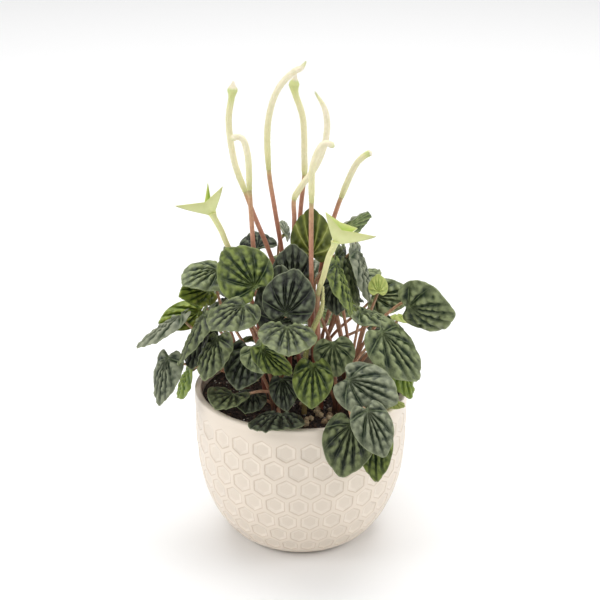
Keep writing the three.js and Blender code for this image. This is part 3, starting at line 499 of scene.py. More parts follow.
def makePot():
    f = potFacts
    z = np.arange(0, f["height"], 0.05)
    radius = wallRadius(z)
    run = np.concatenate(([0], np.cumsum(np.hypot(np.diff(radius), np.diff(z)))))
    stops = np.arange(1.0, run[-1] - 1.9, f["ringStep"])
    rings = [(f["baseRadius"] - 4.0, 0.0, -9.0, 0.0), (f["baseRadius"] - 0.7, 0.0, -9.0, 0.0)]
    rings.append((f["baseRadius"] - 0.15, 0.2, -9.0, 0.0))
    lastRow = f["rows"] - 1
    for s in stops:
        row = (s - f["firstRow"]) / f["rowPitch"]
        outside = max(-row - 0.67, row - lastRow - 0.67, 0.0)
        fade = 1 - smoothStep(0.0, 0.3, outside)
        rings.append((np.interp(s, run, radius), np.interp(s, run, z), row, fade))
    top, rim, wall = f["height"], f["rimRadius"], f["wall"]
    for turn in np.linspace(0, math.pi, 12):  # the rounded lip
        reach = rim - wall / 2 + wall / 2 * math.cos(turn)
        rings.append((reach, top - 1.8 + 1.8 * math.sin(turn) ** 0.8, 9.0, 0.0))
    for depth in (4, 10, 20, 28, 48, 68):
        level = top - depth
        rings.append((wallRadius(np.float64(level)) - wall, level, 9.0, 0.0))
    rings.append((wallRadius(np.float64(f["floor"])) - wall - 3, f["floor"] + 1, 9.0, 0.0))
    rings.append((10.0, f["floor"], 9.0, 0.0))
    around = f["cells"] * f["perCell"]
    turns = np.arange(around) * 2 * math.pi / around
    points, cellTurn, cellRow, netFade = [], [], [], []
    for reach, level, row, fade in rings:
        points.append(ringPoints(reach, level, turns))
        cellTurn.append((turns - f["cellTurn"]) / (2 * math.pi) * f["cells"])
        cellRow.append(np.full(around, row))
        netFade.append(np.full(around, fade))
    points = np.concatenate(points + [[(0, 0, 0), (0, 0, f["floor"])]])
    flat = lambda parts: np.concatenate(parts + [np.zeros(2)])
    values = {"cellTurn": flat(cellTurn), "cellRow": flat(cellRow), "netFade": flat(netFade)}
    pot = meshObject("glazedPot", points, turnedFaces(len(rings), around), values)
    applyTree(pot, potTree(glazeMaterial()), {
        "Net Height": f["netHeight"] * mm, "Cell Depth": f["cellDepth"] * mm,
        "Cell Floor": f["cellFloor"], "Net Edge": f["netEdge"], "Rows": float(f["rows"]),
    })
    place(pot, None, "glaze", "pot")


makePot()
print("pot made")


soilFacts = {
    "level": 90.6, "radius": 60.4, "depth": 70.0,
    "roughness": 1.3, "crumbs": 430000.0, "crumbSize": 0.0011, "seed": 5,
    "spots": [(6, -36), (14, -40), (17, -34), (3, -42), (24, -37), (10, -31)],
    "drawnGrains": 22, "grainSize": 0.0019,
}


def soilTree(material):
    tree, given = newTree("soilSurface", [
        ("Roughness", "Float", 0.0013), ("Crumb Density", "Float", 4e5),
        ("Crumb Size", "Float", 0.001), ("Seed", "Int", 5),
    ])
    mask = named(tree, "topMask")
    wide = addNode(tree, "ShaderNodeTexNoise", {"Scale": 70.0, "Detail": 4.0, "Roughness": 0.6}).outputs[0]
    height = calc(tree, "MULTIPLY", given.outputs["Roughness"], 3.0)
    lift = calc(tree, "MULTIPLY", calc(tree, "SUBTRACT", wide, 0.5), height)
    offset = addNode(tree, "ShaderNodeCombineXYZ", {"Z": calc(tree, "MULTIPLY", lift, mask)}).outputs[0]
    ground = shiftPoints(tree, given.outputs["Geometry"], offset)
    scatter = addNode(tree, "GeometryNodeDistributePointsOnFaces", {
        "Mesh": ground, "Selection": calc(tree, "GREATER_THAN", mask, 0.9),
        "Density": given.outputs["Crumb Density"], "Seed": given.outputs["Seed"],
    }, distribute_method="RANDOM")
    lump = addNode(tree, "GeometryNodeMeshIcoSphere", {"Radius": 1.0, "Subdivisions": 1})
    size = randomVector(tree, (0.35, 0.3, 0.25), (1.5, 1.1, 0.8), 4)
    values = {0: size, "Scale": given.outputs["Crumb Size"]}
    size = addNode(tree, "ShaderNodeVectorMath", values, operation="SCALE")
    crumbs = addNode(tree, "GeometryNodeInstanceOnPoints", {
        "Points": randomShade(tree, scatter.outputs[0], 11), "Instance": lump.outputs[0],
        "Rotation": randomVector(tree, (0, 0, 0), (6.28, 6.28, 6.28), 3), "Scale": size.outputs[0],
    })
    both = addNode(tree, "GeometryNodeJoinGeometry")
    tree.links.new(ground, both.inputs[0])
    tree.links.new(crumbs.outputs[0], both.inputs[0])
    endTree(tree, both.outputs[0], material)
    return tree


def grainTree(material):
    tree, given = newTree("grainBalls", [("Size", "Float", 0.0019), ("Seed", "Int", 7)])
    ball = addNode(tree, "GeometryNodeMeshIcoSphere", {"Radius": given.outputs["Size"], "Subdivisions": 3})
    knobs = addNode(tree, "ShaderNodeTexNoise", {"Scale": 900.0, "Detail": 2.0}).outputs[0]
    swell = calc(tree, "MULTIPLY", calc(tree, "SUBTRACT", knobs, 0.5), 0.0022)
    spots = addNode(tree, "GeometryNodeMeshToPoints", {0: given.outputs["Geometry"]})
    grains = addNode(tree, "GeometryNodeInstanceOnPoints", {
        "Points": randomShade(tree, spots.outputs[0], given.outputs["Seed"]),
        "Instance": shiftOut(tree, ball.outputs[0], swell),
        "Rotation": randomVector(tree, (0, 0, 0), (6.28, 6.28, 6.28), 3),
        "Scale": randomVector(tree, (0.8, 0.8, 0.7), (1.2, 1.1, 1.0), 4),
    })
    smooth = addNode(tree, "GeometryNodeRealizeInstances", {0: grains.outputs[0]})
    smooth = addNode(tree, "GeometryNodeSetShadeSmooth", {0: smooth.outputs[0]})
    endTree(tree, smooth.outputs[0], material)
    return tree


def makeSoil():
    f = soilFacts
    around, steps = 180, 46
    turns = np.arange(around) * 2 * math.pi / around
    foot = wallRadius(np.float64(f["depth"])) - 4.6
    rings = [(foot, f["depth"], 0.0), (f["radius"], f["level"] - 1.5, 0.0)]
    for i in range(steps):
        reach = f["radius"] * (1 - i / steps)
        rings.append((reach, f["level"], smoothStep(0.0, 2.0, f["radius"] - reach)))
    points, mask = [], []
    for reach, level, weight in rings:
        points.append(ringPoints(reach, level, turns))
        mask.append(np.full(around, weight))
    points = np.concatenate(points + [[(0, 0, f["depth"]), (0, 0, f["level"])]])
    values = {"topMask": np.concatenate(mask + [np.array([0.0, 1.0])]), "shade": np.full(len(points), 0.35)}
    soil = meshObject("soilBed", points, turnedFaces(len(rings), around), values)
    applyTree(soil, soilTree(soilMaterial()), {
        "Roughness": f["roughness"] * mm, "Crumb Density": f["crumbs"],
        "Crumb Size": f["crumbSize"], "Seed": f["seed"],
    })
    place(soil, None, "soil", "soil")

    draw = drawsFrom(31)
    spots = []
    for x, y in f["spots"]:
        spots.append((x, y, f["level"] + 1.0))
        spots.append((x + 5 * (next(draw) - 0.5), y + 5 * (next(draw) - 0.5), f["level"] + 1.8))
    for _ in range(f["drawnGrains"]):
        turn, reach = 2 * math.pi * next(draw), 58 * math.sqrt(next(draw))
        spots.append((reach * math.cos(turn), reach * math.sin(turn), f["level"] + 0.9))
    grains = meshObject("fertiliserGrains", spots, [])
    applyTree(grains, grainTree(grainMaterial()), {"Size": f["grainSize"], "Seed": 7})
    place(grains, None, "soil", "soil")


makeSoil()
print("soil made")


def curvePoints(points, shares):  # centripetal Catmull-Rom through the points, at shares of the way
    points = np.asarray(points, dtype=float)
    count = len(points)
    made = []
    for share in np.atleast_1d(shares):
        along = (count - 1) * share
        i = int(math.floor(along))
        weight = along - i
        if i >= count - 1:
            i, weight = count - 2, 1.0
        p1, p2 = points[i], points[i + 1]
        p0 = points[i - 1] if i > 0 else 2 * points[0] - points[1]
        p3 = points[i + 2] if i + 2 < count else 2 * points[-1] - points[-2]
        d0, d1, d2 = (math.sqrt(np.linalg.norm(b - a)) for a, b in ((p0, p1), (p1, p2), (p2, p3)))
        t1 = ((p1 - p0) / d0 - (p2 - p0) / (d0 + d1) + (p2 - p1) / d1) * d1
        t2 = ((p2 - p1) / d1 - (p3 - p1) / (d1 + d2) + (p3 - p2) / d2) * d1
        made.append(p1 + t1 * weight + (-3 * p1 + 3 * p2 - 2 * t1 - t2) * weight ** 2
                    + (2 * p1 - 2 * p2 + t1 + t2) * weight ** 3)
    return np.array(made)


def evenShares(points, steps, divisions=200):  # shares that lie evenly along the curve's length
    fine = curvePoints(points, np.linspace(0, 1, divisions + 1))
    lengths = np.concatenate(([0], np.cumsum(np.linalg.norm(np.diff(fine, axis=0), axis=1))))
    steps = steps or math.ceil(lengths[-1] / 4)
    return np.interp(np.linspace(0, lengths[-1], steps + 1), lengths, np.linspace(0, 1, divisions + 1))


def bezierPoints(start, first, second, end, steps):
    t = np.linspace(0, 1, steps + 1)[:, None]
    return (1 - t) ** 3 * start + 3 * (1 - t) ** 2 * t * first + 3 * (1 - t) * t ** 2 * second + t ** 3 * end


# The stalks from the soil up and what they carry, as points along their middles
flowerPaths = {
    "a": {
        "stalk": [
            [3, 2, 82], [3, 2, 97], [-3, 1, 122], [-10, 0, 153],
            [-18, 2, 181], [-28, 3, 207], [-33, 4, 221],
        ],
        "spike": [[-33, 4, 221], [-39, 4, 239], [-42, 4, 265], [-40, 4, 279], [-39, 4, 288]],
    },
    "b": {
        "stalk": [
            [-22, -12, 82], [-22, -12, 97], [-25, -9, 130],
            [-26, -8, 157], [-28, -8, 188], [-30, -8, 226],
        ],
        "spike": [[-30, -8, 226], [-31, -8, 248], [-34, -8, 257], [-38, -8, 258], [-40, -8, 256]],
    },
    "c": {
        "stalk": [[0, 15, 82], [0, 15, 97], [-5, 11, 135], [-12, 7, 186], [-16, 6, 212], [-19, 6, 234]],
        "spike": [[-19, 6, 234], [-19, 6, 264], [-13, 6, 283], [-4, 6, 293], [0, 6, 295], [3, 6, 299]],
    },
    "d": {
        "stalk": [[-7, 24, 82], [-7, 24, 97], [-6, 21, 140], [-2, 18, 179], [0, 18, 207], [2, 18, 227]],
        "spike": [[2, 18, 227], [2, 18, 238], [1, 18, 262], [-4, 18, 280], [-3, 18, 289]],
    },
    "e": {
        "stalk": [[-12, -9, 82], [-12, -9, 97], [-10, -7, 140], [-5, 1, 178], [-4, 2, 204], [-4, 2, 217]],
        "spike": [[-4, 2, 217], [-1, 2, 223], [10, 4, 239], [15, 6, 256], [14, 6, 270], [8, 6, 281]],
    },
    "f": {
        "stalk": [[9, -13, 82], [9, -13, 97], [7, -22, 147], [6, -27, 182], [6, -27, 225]],
        "spike": [[6, -27, 225], [7, -27, 248], [12, -27, 259], [15, -27, 260], [19, -27, 258]],
    },
    "g": {
        "stalk": [[12, 11, 82], [12, 11, 97], [10, 13, 140], [14, 14, 180], [20, 14, 202], [24, 14, 214]],
        "spike": [[24, 14, 214], [33, 14, 235], [38, 14, 240], [42, 14, 242]],
    },
}
youngPath = [[2, -27, 82], [2, -27, 97], [3, -26, 130], [7, -30, 147], [12, -35, 162], [13, -35, 176]]
starPaths = {
    "left": {
        "foot": [[-18, 3, 82], [-18, 3, 97], [-26, -1, 140], [-36, -6, 174]],
        "stem": [[-36, -6, 174], [-44, -6, 192], [-47, -6, 200], [-51, -6, 208], [-53, -6, 213]],
        "tips": [[-73.5, -12, 217.5], [-45.5, -12, 229.5], [-55, 6, 226]],
        "cup": 4.5, "cuts": (0.66, 0.74, 0.74),
    },
    "right": {
        "foot": [[12, -21, 82], [12, -21, 97], [10, -27, 140], [10, -31, 170]],
        "stem": [[10, -31, 170], [13, -32, 181], [16, -32, 193], [19, -32, 200], [20, -32, 205]],
        "tips": [[14, -33, 221], [43, -38, 208], [33, -17, 205.5]],
        "cup": 5.5, "cuts": (0.66, 0.5, 0.3),
    },
}


# The leaves, by the same rows and rules as in the part's source. The rows were drawn up from points picked in
# the photo. 22 of them were later fitted to such points by another script and rounded, and some of those were
# then changed by hand.
# A row: where its stem meets the blade (x, y, z), heading, slope, roll, length, width, arch, finish
crownFacts = {
    "left": {"foot": (-32, -2), "leaves": [
        [-71, -6, 146.5, -75, -27, 4, 33, 19, 3, "grey"],
        [-62, 12, 141, -42, 4, -66, 32, 18, 3, "lime"],
        [-57, -21, 151.5, -58, -50, 16, 34, 24, 3, "deep"],
        [-80, -22, 126, -25, -55, 25, 29, 26, 3, "slate"],
        [-66, 4, 106, -130, -55, -45, 27, 23, 3, "olive"],
        [-50, 2, 172, -45, 0, -20, 27, 28, 3, "mid"],
        [-54, 10, 155, -32, 14, -50, 28, 19, 2, "lime"],
        [-59, -7, 134, -20, -25, 30, 26, 25, 3, "dark"],
    ]},
    "frontLeft": {"foot": (-14, -27), "leaves": [
        [-27, -23, 172, -130, 34, -50, 31, 34, -2, "bright"],
        [-31, -42, 166, -38, -8, -8, 29, 29, 3, "deep"],
        [-47, -40, 144, -25, -40, 20, 27, 25, 4, "deep"],
        [-31, -34, 136, -15, -35, -5, 27, 26, 3, "dark"],
        [-26.5, -50, 144, 20, -25, 35, 19, 20, -3, "mid"],
        [-24, -53, 148, 118, -50, 116, 30, 16, -3, "bright"],
        [-9, -50, 157.5, 3, -6, -5, 28, 34, 2, "deep"],
        [-11, -30, 154, -175, 65, -20, 34, 31, -2, "dark"],
        [-5, -22, 170, 180, 72, 0, 26, 26, -2, "dark"],
        [-9, -42, 160, 152, 62, 24, 27, 31, -2, "dark"],
        [-11, -39, 118, 10, -38, 12, 20, 17, 2, "dark"],
        [-40, -43, 111, -25, 5, -5, 22, 25, -3, "deep"],
        [-12.5, -56, 105, -17, 9, 5, 28, 33, 3, "dark"],
        [-29, -32, 107, -10, -5, -5, 21, 20, 2, "dark"],
    ]},
    "frontRight": {"foot": (22, -24), "leaves": [
        [7, -47, 132.5, -2, -30, 1, 29, 24, 3, "bright"],
        [26, -52, 127, 60, -10, 40, 32, 32, 3, "slate"],
        [43.5, -36, 147, 62, -43, 22, 35, 32, 4, "mid"],
        [19, -34, 140, 18, -66, 18, 20, 25, 2, "mid"],
        [29, -65, 103, -20, -52, -15, 31, 31, 3, "deep"],
        [37, -73, 114.5, 30, -45, 15, 28, 24, 3, "slate"],
        [43, -62, 98.5, 3, -62, 5, 32, 21, 2, "bright"],
        [59, -18, 118, 30, -52, -20, 23, 23, 3, "olive"],
        [53, -28, 100, 50, 0, 0, 12, 10, 2, "pale"],
    ]},
    "right": {"foot": (30, 5), "leaves": [
        [17, -18, 182, 30, -47, -38, 32, 24, 3, "bright"],
        [26, 2, 183, 45, -60, -28, 35, 26, 3, "mid"],
        [33, 14, 180, 40, -60, -33, 33, 26, 3, "grey"],
        [23, -5, 166, 5, -45, -5, 20, 18, 2, "dark"],
        [43.5, -4, 160, 178, 62, 0, 11, 12, 2, "pale"],
        [44, 6, 153.5, 95, 0, 65, 24, 22, 2, "mid"],
        [63.5, -8, 152.5, 58, 2, 108, 30, 38, 3, "mid"],
        [36, -22, 155, 70, -8, -3, 25, 24, 3, "mid"],
        [58.5, -2, 144.5, 50, 0, -10, 14, 16, 2, "pale"],
    ]},
    "backLeft": {"foot": (-22, 24), "leaves": [
        [-26.5, 24, 178, -170, 10, -12, 22, 25, 3, "dark"],
        [-9, 32, 184, 175, 15, 60, 15, 12, 2, "grey"],
        [-37, 14, 152, -150, 0, 0, 25, 25, 3, "dark"],
    ]},
    "backRight": {"foot": (10, 34), "leaves": [
        [5, -10, 186, -175, 75, 180, 28, 25, -2, "shade"],
        [28, 22, 191, 140, 5, -62, 24, 20, 3, "grey"],
    ]},
}
backTiers = [
    {"count": 6, "from": 128, "to": 238, "reach": 66, "height": 128, "slope": -42, "length": 32, "width": 30},
    {"count": 5, "from": 115, "to": 245, "reach": 56, "height": 145, "slope": -20, "length": 32, "width": 31},
    {"count": 4, "from": 130, "to": 232, "reach": 38, "height": 158, "slope": 5, "length": 28, "width": 28},
    {"count": 2, "from": 172, "to": 222, "reach": 46, "height": 112, "slope": -20, "length": 26, "width": 25},
]
settleFacts = {
    "rounds": 60, "blade": 5.0, "stalk": 4.2, "slide": 16.0, "shift": 4.0,
    "slideShare": 0.7, "shiftShare": 0.4, "rim": 2.5, "soilTop": 92.5, "crownTop": 97.0,
    "leafYield": 0.3, "stalkYield": 0.4, "potYield": 0.5,  # shares of a shortfall made up in one round
}
sightline = np.array((0, 0.927, -0.375))  # the way the camera looks


def leafFrom(name, row, finish):
    x, y, z, heading, slope, roll, length, width, arch = row
    turn, climb, lean = np.radians((heading, slope, roll))
    rib = np.array((math.sin(turn) * math.cos(climb), -math.cos(turn) * math.cos(climb), math.sin(climb)))
    upright = np.array((-math.sin(turn) * math.sin(climb), math.cos(turn) * math.sin(climb), math.cos(climb)))
    face = upright * math.cos(lean) + np.cross(rib, upright) * math.sin(lean)
    return {
        "crown": name, "foot": np.array(crownFacts[name]["foot"], dtype=float),
        "hub": np.array((x, y, z), dtype=float),
        "rib": rib, "face": face, "across": np.cross(face, rib),
        "length": length, "width": width, "arch": arch, "finish": finish,
    }


def bladeFlat(leaf, angle, share):  # along the rib, across it, and how far the blade sinks there
    length, width = leaf["length"], leaf["width"]
    back, front = 0.27 * length, 0.93 * length
    fromNotch = math.pi - np.abs(angle)
    tip = 0.07 * length * np.exp(-((angle / 0.3) ** 2))
    notch = 0.2 * length * np.exp(-((fromNotch / 0.3) ** 2))
    along = ((front - back) / 2 + ((front + back) / 2) * np.cos(angle) + tip + notch) * share
    across = (width / 2) * np.sin(angle) * (1 - 0.12 * np.cos(angle)) * share
    droop = 0.11 * length * (np.maximum(along, 0) / length) ** 2
    arch = leaf["arch"] * (2 * across / width) ** 2
    return along, across, droop + arch + np.exp(-share * 6)


def bladeOffsets(leaf):  # points spread over a blade, to see what it comes close to
    offsets = [np.zeros((1, 3))]
    for share, count in ((0.42, 8), (0.72, 14), (1.0, 20)):
        angle = 2 * math.pi * np.arange(count) / count
        angle = np.where(angle > math.pi, angle - 2 * math.pi, angle)
        along, across, sink = bladeFlat(leaf, angle, np.full(count, share))
        flat = np.outer(along, leaf["rib"]) + np.outer(across, leaf["across"])
        offsets.append(flat - np.outer(sink, leaf["face"]))
    return np.concatenate(offsets)


def potPush(cloud, hangsOutside):
    f = settleFacts
    radius = np.hypot(cloud[:, 0], cloud[:, 1])
    lipInside = potFacts["rimRadius"] - potFacts["wall"] - f["rim"]
    pushes = np.zeros_like(cloud)
    done = np.zeros(len(cloud), dtype=bool)
    if hangsOutside:
        short = potFacts["rimRadius"] + f["rim"] - radius
        hit = (radius > lipInside) & (cloud[:, 2] < potFacts["height"] + f["rim"]) & (short > 0)
        pushes[hit, :2] = cloud[hit, :2] / radius[hit, None] * short[hit, None]
        done |= hit
    else:
        short = potFacts["height"] + f["rim"] - cloud[:, 2]
        hit = (radius > lipInside) & (radius < potFacts["rimRadius"] + f["rim"]) & (short > 0)
        pushes[hit, 2] = short[hit]
        done |= hit
    short = f["soilTop"] + f["rim"] - cloud[:, 2]
    hit = ~done & (radius <= lipInside) & (short > 0)
    pushes[hit, 2] = short[hit]
    return pushes[np.argmax(np.linalg.norm(pushes, axis=1))]


def settle(leaves, fixedPoints):
    f = settleFacts
    starts = [leaf["hub"].copy() for leaf in leaves]
    depth = [hub @ sightline for hub in starts]
    fixedDepth = fixedPoints @ sightline
    offsets = [bladeOffsets(leaf) for leaf in leaves]
    lifts = [np.zeros(3) for _ in leaves]
    for _ in range(f["rounds"]):
        clouds = [leaf["hub"] + offset for leaf, offset in zip(leaves, offsets)]
        pushes = [np.zeros(3) for _ in leaves]
        worsts = []

        def part(i, closest, away, clearance, order, share):
            short = (clearance - closest) * share
            pushes[i] += sightline * (order * short * f["slideShare"])
            pushes[i] += away * (f["shiftShare"] * short / max(closest, 0.1))

        for i, leaf in enumerate(leaves):
            for j in range(i + 1, len(leaves)):
                other = leaves[j]
                if np.linalg.norm(leaf["hub"] - other["hub"]) > leaf["length"] + other["length"] + f["blade"]:
                    continue
                gaps = clouds[i][:, None] - clouds[j][None]
                sizes = np.sqrt(np.einsum("abk,abk->ab", gaps, gaps))
                nearest = np.unravel_index(np.argmin(sizes), sizes.shape)
                closest = sizes[nearest]
                if closest < f["blade"]:
                    order = 1 if depth[i] > depth[j] else -1
                    part(i, closest, gaps[nearest], f["blade"], order, f["leafYield"])
                    part(j, closest, -gaps[nearest], f["blade"], -order, f["leafYield"])
            fromHub = np.linalg.norm(fixedPoints - leaf["hub"], axis=1)
            near = np.flatnonzero(fromHub <= leaf["length"] + f["stalk"])
            if len(near):
                gaps = clouds[i][:, None] - fixedPoints[near][None]
                sizes = np.sqrt(np.einsum("abk,abk->ab", gaps, gaps))
                rows = np.argmin(sizes, axis=0)
                for column, row in enumerate(rows):
                    closest = sizes[row, column]
                    if closest < f["stalk"]:
                        order = 1 if depth[i] > fixedDepth[near[column]] else -1
                        part(i, closest, gaps[row, column], f["stalk"], order, f["stalkYield"])
            worsts.append(potPush(clouds[i], math.hypot(*starts[i][:2]) > potFacts["rimRadius"] + 1))
        for i, leaf in enumerate(leaves):
            moved = leaf["hub"] - starts[i] - lifts[i] + pushes[i]
            slide = min(max(moved @ sightline, -f["slide"]), f["slide"])
            moved = moved - sightline * (moved @ sightline)
            size = np.linalg.norm(moved)
            if size > f["shift"]:
                moved *= f["shift"] / size
            lifts[i] += worsts[i] * f["potYield"]
            leaf["hub"] = starts[i] + moved + sightline * slide + lifts[i]


petioleFacts = {
    "start": 2.6, "end": 1.8, "samples": 24, "bows": (0, 6, 12, 18, 25), "turns": 10, "bowCost": 0.05,
    "radius": (1.25, 0.78), "sides": 10, "crownRadius": 4.3, "crownFoot": 82, "crownRise": 15.5,
    "room": {  # the clearance wanted from each thing, and the cost of falling short of it
        "flowers": (4.0, 4.0), "stems": (3.6, 4.0),
        "ownBlades": (3.2, 0.5), "otherBlades": (4.4, 3.0), "pot": (2, 6.0),
    },
}


def petiolePath(leaf, bow, steps):
    hub = leaf["hub"]
    out = np.array((hub[0] - leaf["foot"][0], hub[1] - leaf["foot"][1], 0.0))
    start = np.array((*leaf["foot"], leaf["start"])) + unit(out) * petioleFacts["start"]
    end = hub - leaf["face"] * petioleFacts["end"]
    reach = np.linalg.norm(start - end)
    first = start + bow + np.array((0, 0, 0.45 * reach))
    second = end - leaf["face"] * 0.25 * reach + bow * 0.6
    if math.hypot(hub[0], hub[1]) > potFacts["rimRadius"] and hub[2] < potFacts["height"] + 20:
        second = second + np.array((0, 0, 0.3 * reach))
    return bezierPoints(start, first, second, end, steps)


def routePetioles(leaves, fixedPoints):
    f = petioleFacts
    clouds = [leaf["hub"] + bladeOffsets(leaf) for leaf in leaves]
    hubs = np.array([leaf["hub"] for leaf in leaves])
    reaches = np.array([leaf["length"] + 5 for leaf in leaves])
    clearOf = f["samples"] // 8
    routed = []

    def charge(path, points, clearance, weight, mask=None):
        gaps = np.sqrt(((path[:, None] - points[None]) ** 2).sum(axis=2))
        cost = weight * np.maximum(clearance - gaps, 0) ** 2
        return (cost if mask is None else cost * mask).sum()

    def crowding(path, i, elsewhere):
        room = f["room"]
        cost = charge(path, fixedPoints, *room["flowers"])
        if len(elsewhere):
            cost += charge(path, elsewhere, *room["stems"])
        distances = np.linalg.norm(path[:, None] - hubs[None], axis=2)
        for j in np.flatnonzero((distances <= reaches).any(axis=0)):
            if j == i:
                continue
            same = leaves[j]["crown"] == leaves[i]["crown"]
            clearance, weight = room["ownBlades" if same else "otherBlades"]
            cost += charge(path, clouds[j], clearance, weight, (distances[:, j] <= reaches[j])[:, None])
        radius = np.hypot(path[:, 0], path[:, 1])
        rim, wall = potFacts["rimRadius"], potFacts["wall"]
        margin, weight = room["pot"]
        overRim = (radius > rim - wall - margin) & (radius < rim + margin)
        floor = np.where(overRim, potFacts["height"], settleFacts["soilTop"])
        counts = (np.arange(len(path)) > 2) & (radius < rim + margin)
        return cost + (weight * np.maximum(margin - (path[:, 2] - floor), 0) ** 2 * counts).sum()

    for i, leaf in enumerate(leaves):
        others = [path for crown, path in routed if crown != leaf["crown"]]
        elsewhere = np.concatenate(others) if others else np.zeros((0, 3))
        chord = unit(leaf["hub"] - np.array((*leaf["foot"], settleFacts["crownTop"])))
        sideways = unit(np.array((-chord[1], chord[0], 0.0)))
        upward = np.cross(chord, sideways)
        least = math.inf
        for reach in f["bows"]:
            for turn in range(f["turns"] if reach else 1):
                angle = 2 * math.pi * turn / f["turns"]
                bow = sideways * reach * math.cos(angle) + upward * reach * math.sin(angle)
                path = petiolePath(leaf, bow, f["samples"])[clearOf:]
                cost = reach * f["bowCost"] + crowding(path, i, elsewhere)
                if cost < least:
                    least = cost
                    leaf["bow"] = bow
        routed.append((leaf["crown"], petiolePath(leaf, leaf["bow"], f["samples"])[clearOf:]))


def placeLeaves():
    leaves = []
    for name, crown in crownFacts.items():
        for row in crown["leaves"]:
            leaves.append(leafFrom(name, row[:9], row[9]))
    draw = drawsFrom(19)
    finishes = ("mid", "grey", "mid", "dark", "bright", "mid", "grey")
    for tier in backTiers:
        for i in range(tier["count"]):
            heading = lerp(tier["from"], tier["to"], (i + 0.3 + 0.4 * next(draw)) / tier["count"])
            turn = math.radians(heading)
            reach = tier["reach"] * (0.92 + 0.16 * next(draw))
            name = "backRight" if heading < 180 else "backLeft"
            height = tier["height"] + 10 * (next(draw) - 0.5)
            facing = heading + 30 * (next(draw) - 0.5)
            slope = tier["slope"] + 16 * (next(draw) - 0.5)
            roll = 30 * (next(draw) - 0.5)
            row = [reach * math.sin(turn), -reach * math.cos(turn), height, facing, slope, roll,
                   tier["length"], tier["width"], 3]
            leaves.append(leafFrom(name, row, finishes[len(leaves) % len(finishes)]))
    paths = []
    for flower in flowerPaths.values():
        paths += [flower["stalk"], flower["spike"]]
    paths.append(youngPath)
    for star in starPaths.values():
        paths += [star["foot"], star["stem"]]
    fixed = [curvePoints(path, evenShares(path, None)) for path in paths]
    for star in starPaths.values():
        middle = np.array(star["stem"][-1], dtype=float)
        for tip in star["tips"]:
            fixed.append(np.array([lerp(middle, np.array(tip), share) for share in (0.3, 0.6, 1)]))
    fixedPoints = np.concatenate(fixed)
    for i, leaf in enumerate(leaves):
        leaf["start"] = settleFacts["crownTop"] - 2.5 - 2 * (i % 3)
    settle(leaves, fixedPoints)
    routePetioles(leaves, fixedPoints)
    return leaves


# The colours of a blade's ridges, furrows and underside, and the share of ridge colour between them. The
# ridge colours are partly painted sheen and the furrow colours partly painted shade; besides the leaves' own
# greens, the finishes are darker and paler copies given leaf by leaf for how shaded or lit each leaf looks,
# such as 'shade', 'dark' and 'deep' (painted shade) and 'pale' and 'lime' (painted light)
bladeFinishes = {
    "grey": (srgb(150, 154, 130), srgb(32, 50, 22), srgb(124, 142, 84), 0.38),
    "slate": (srgb(134, 140, 113), srgb(18, 36, 15), srgb(120, 134, 82), 0.34),
    "mid": (srgb(142, 152, 108), srgb(15, 38, 9), srgb(116, 138, 68), 0.34),
    "deep": (srgb(118, 127, 86), srgb(9, 24, 6), srgb(100, 120, 58), 0.32),
    "dark": (srgb(98, 106, 82), srgb(5, 12, 4), srgb(92, 112, 54), 0.16),
    "bright": (srgb(122, 136, 64), srgb(12, 36, 4), srgb(124, 148, 50), 0.3),
    "shade": (srgb(120, 134, 58), srgb(32, 50, 10), srgb(126, 134, 58), 0.34),
    "lime": (srgb(150, 166, 72), srgb(50, 78, 14), srgb(140, 162, 56), 0.4),
    "olive": (srgb(128, 146, 56), srgb(66, 92, 22), srgb(120, 142, 48), 0.4),
    "pale": (srgb(176, 184, 104), srgb(140, 160, 74), srgb(200, 210, 134), 0.5),
}
bladeFacts = {
    "spokes": 104, "rings": 26, "thickness": 0.8, "edgeThickness": 0.3,
    "veins": (0.0, 0.6, 1.26, 2.02, math.pi), "veinSway": 0.12, "veinBend": 0.45,
    "ridge": 2.1, "fullLength": 25.0, "split": 0.24, "wander": 0.16,
    "ripple": 0.5, "rippleLength": 4.6, "scallop": 0.02, "wave": 0.7,
}


def waves(random, along, across, lengths):  # a smooth uneven field, about -1 to 1
    total = 0
    for length in lengths:
        turn, phase = random.uniform(0, 2 * math.pi, 2)
        way = along * math.cos(turn) + across * math.sin(turn)
        total = total + np.sin(2 * math.pi * way / length + phase)
    return total / math.sqrt(len(lengths) * 2)


def veinNumber(random, angle):  # counts up by one from vein to vein, with the two sides a little uneven
    f = bladeFacts
    number = np.zeros_like(angle)
    for side in (-1, 1):
        sway = np.concatenate(([0], random.uniform(-1, 1, len(f["veins"]) - 2) * f["veinSway"], [0]))
        counted = np.interp(np.abs(angle), np.array(f["veins"]) + sway, np.arange(len(f["veins"])))
        number = np.where(np.sign(angle) == side, counted, number)
    return number


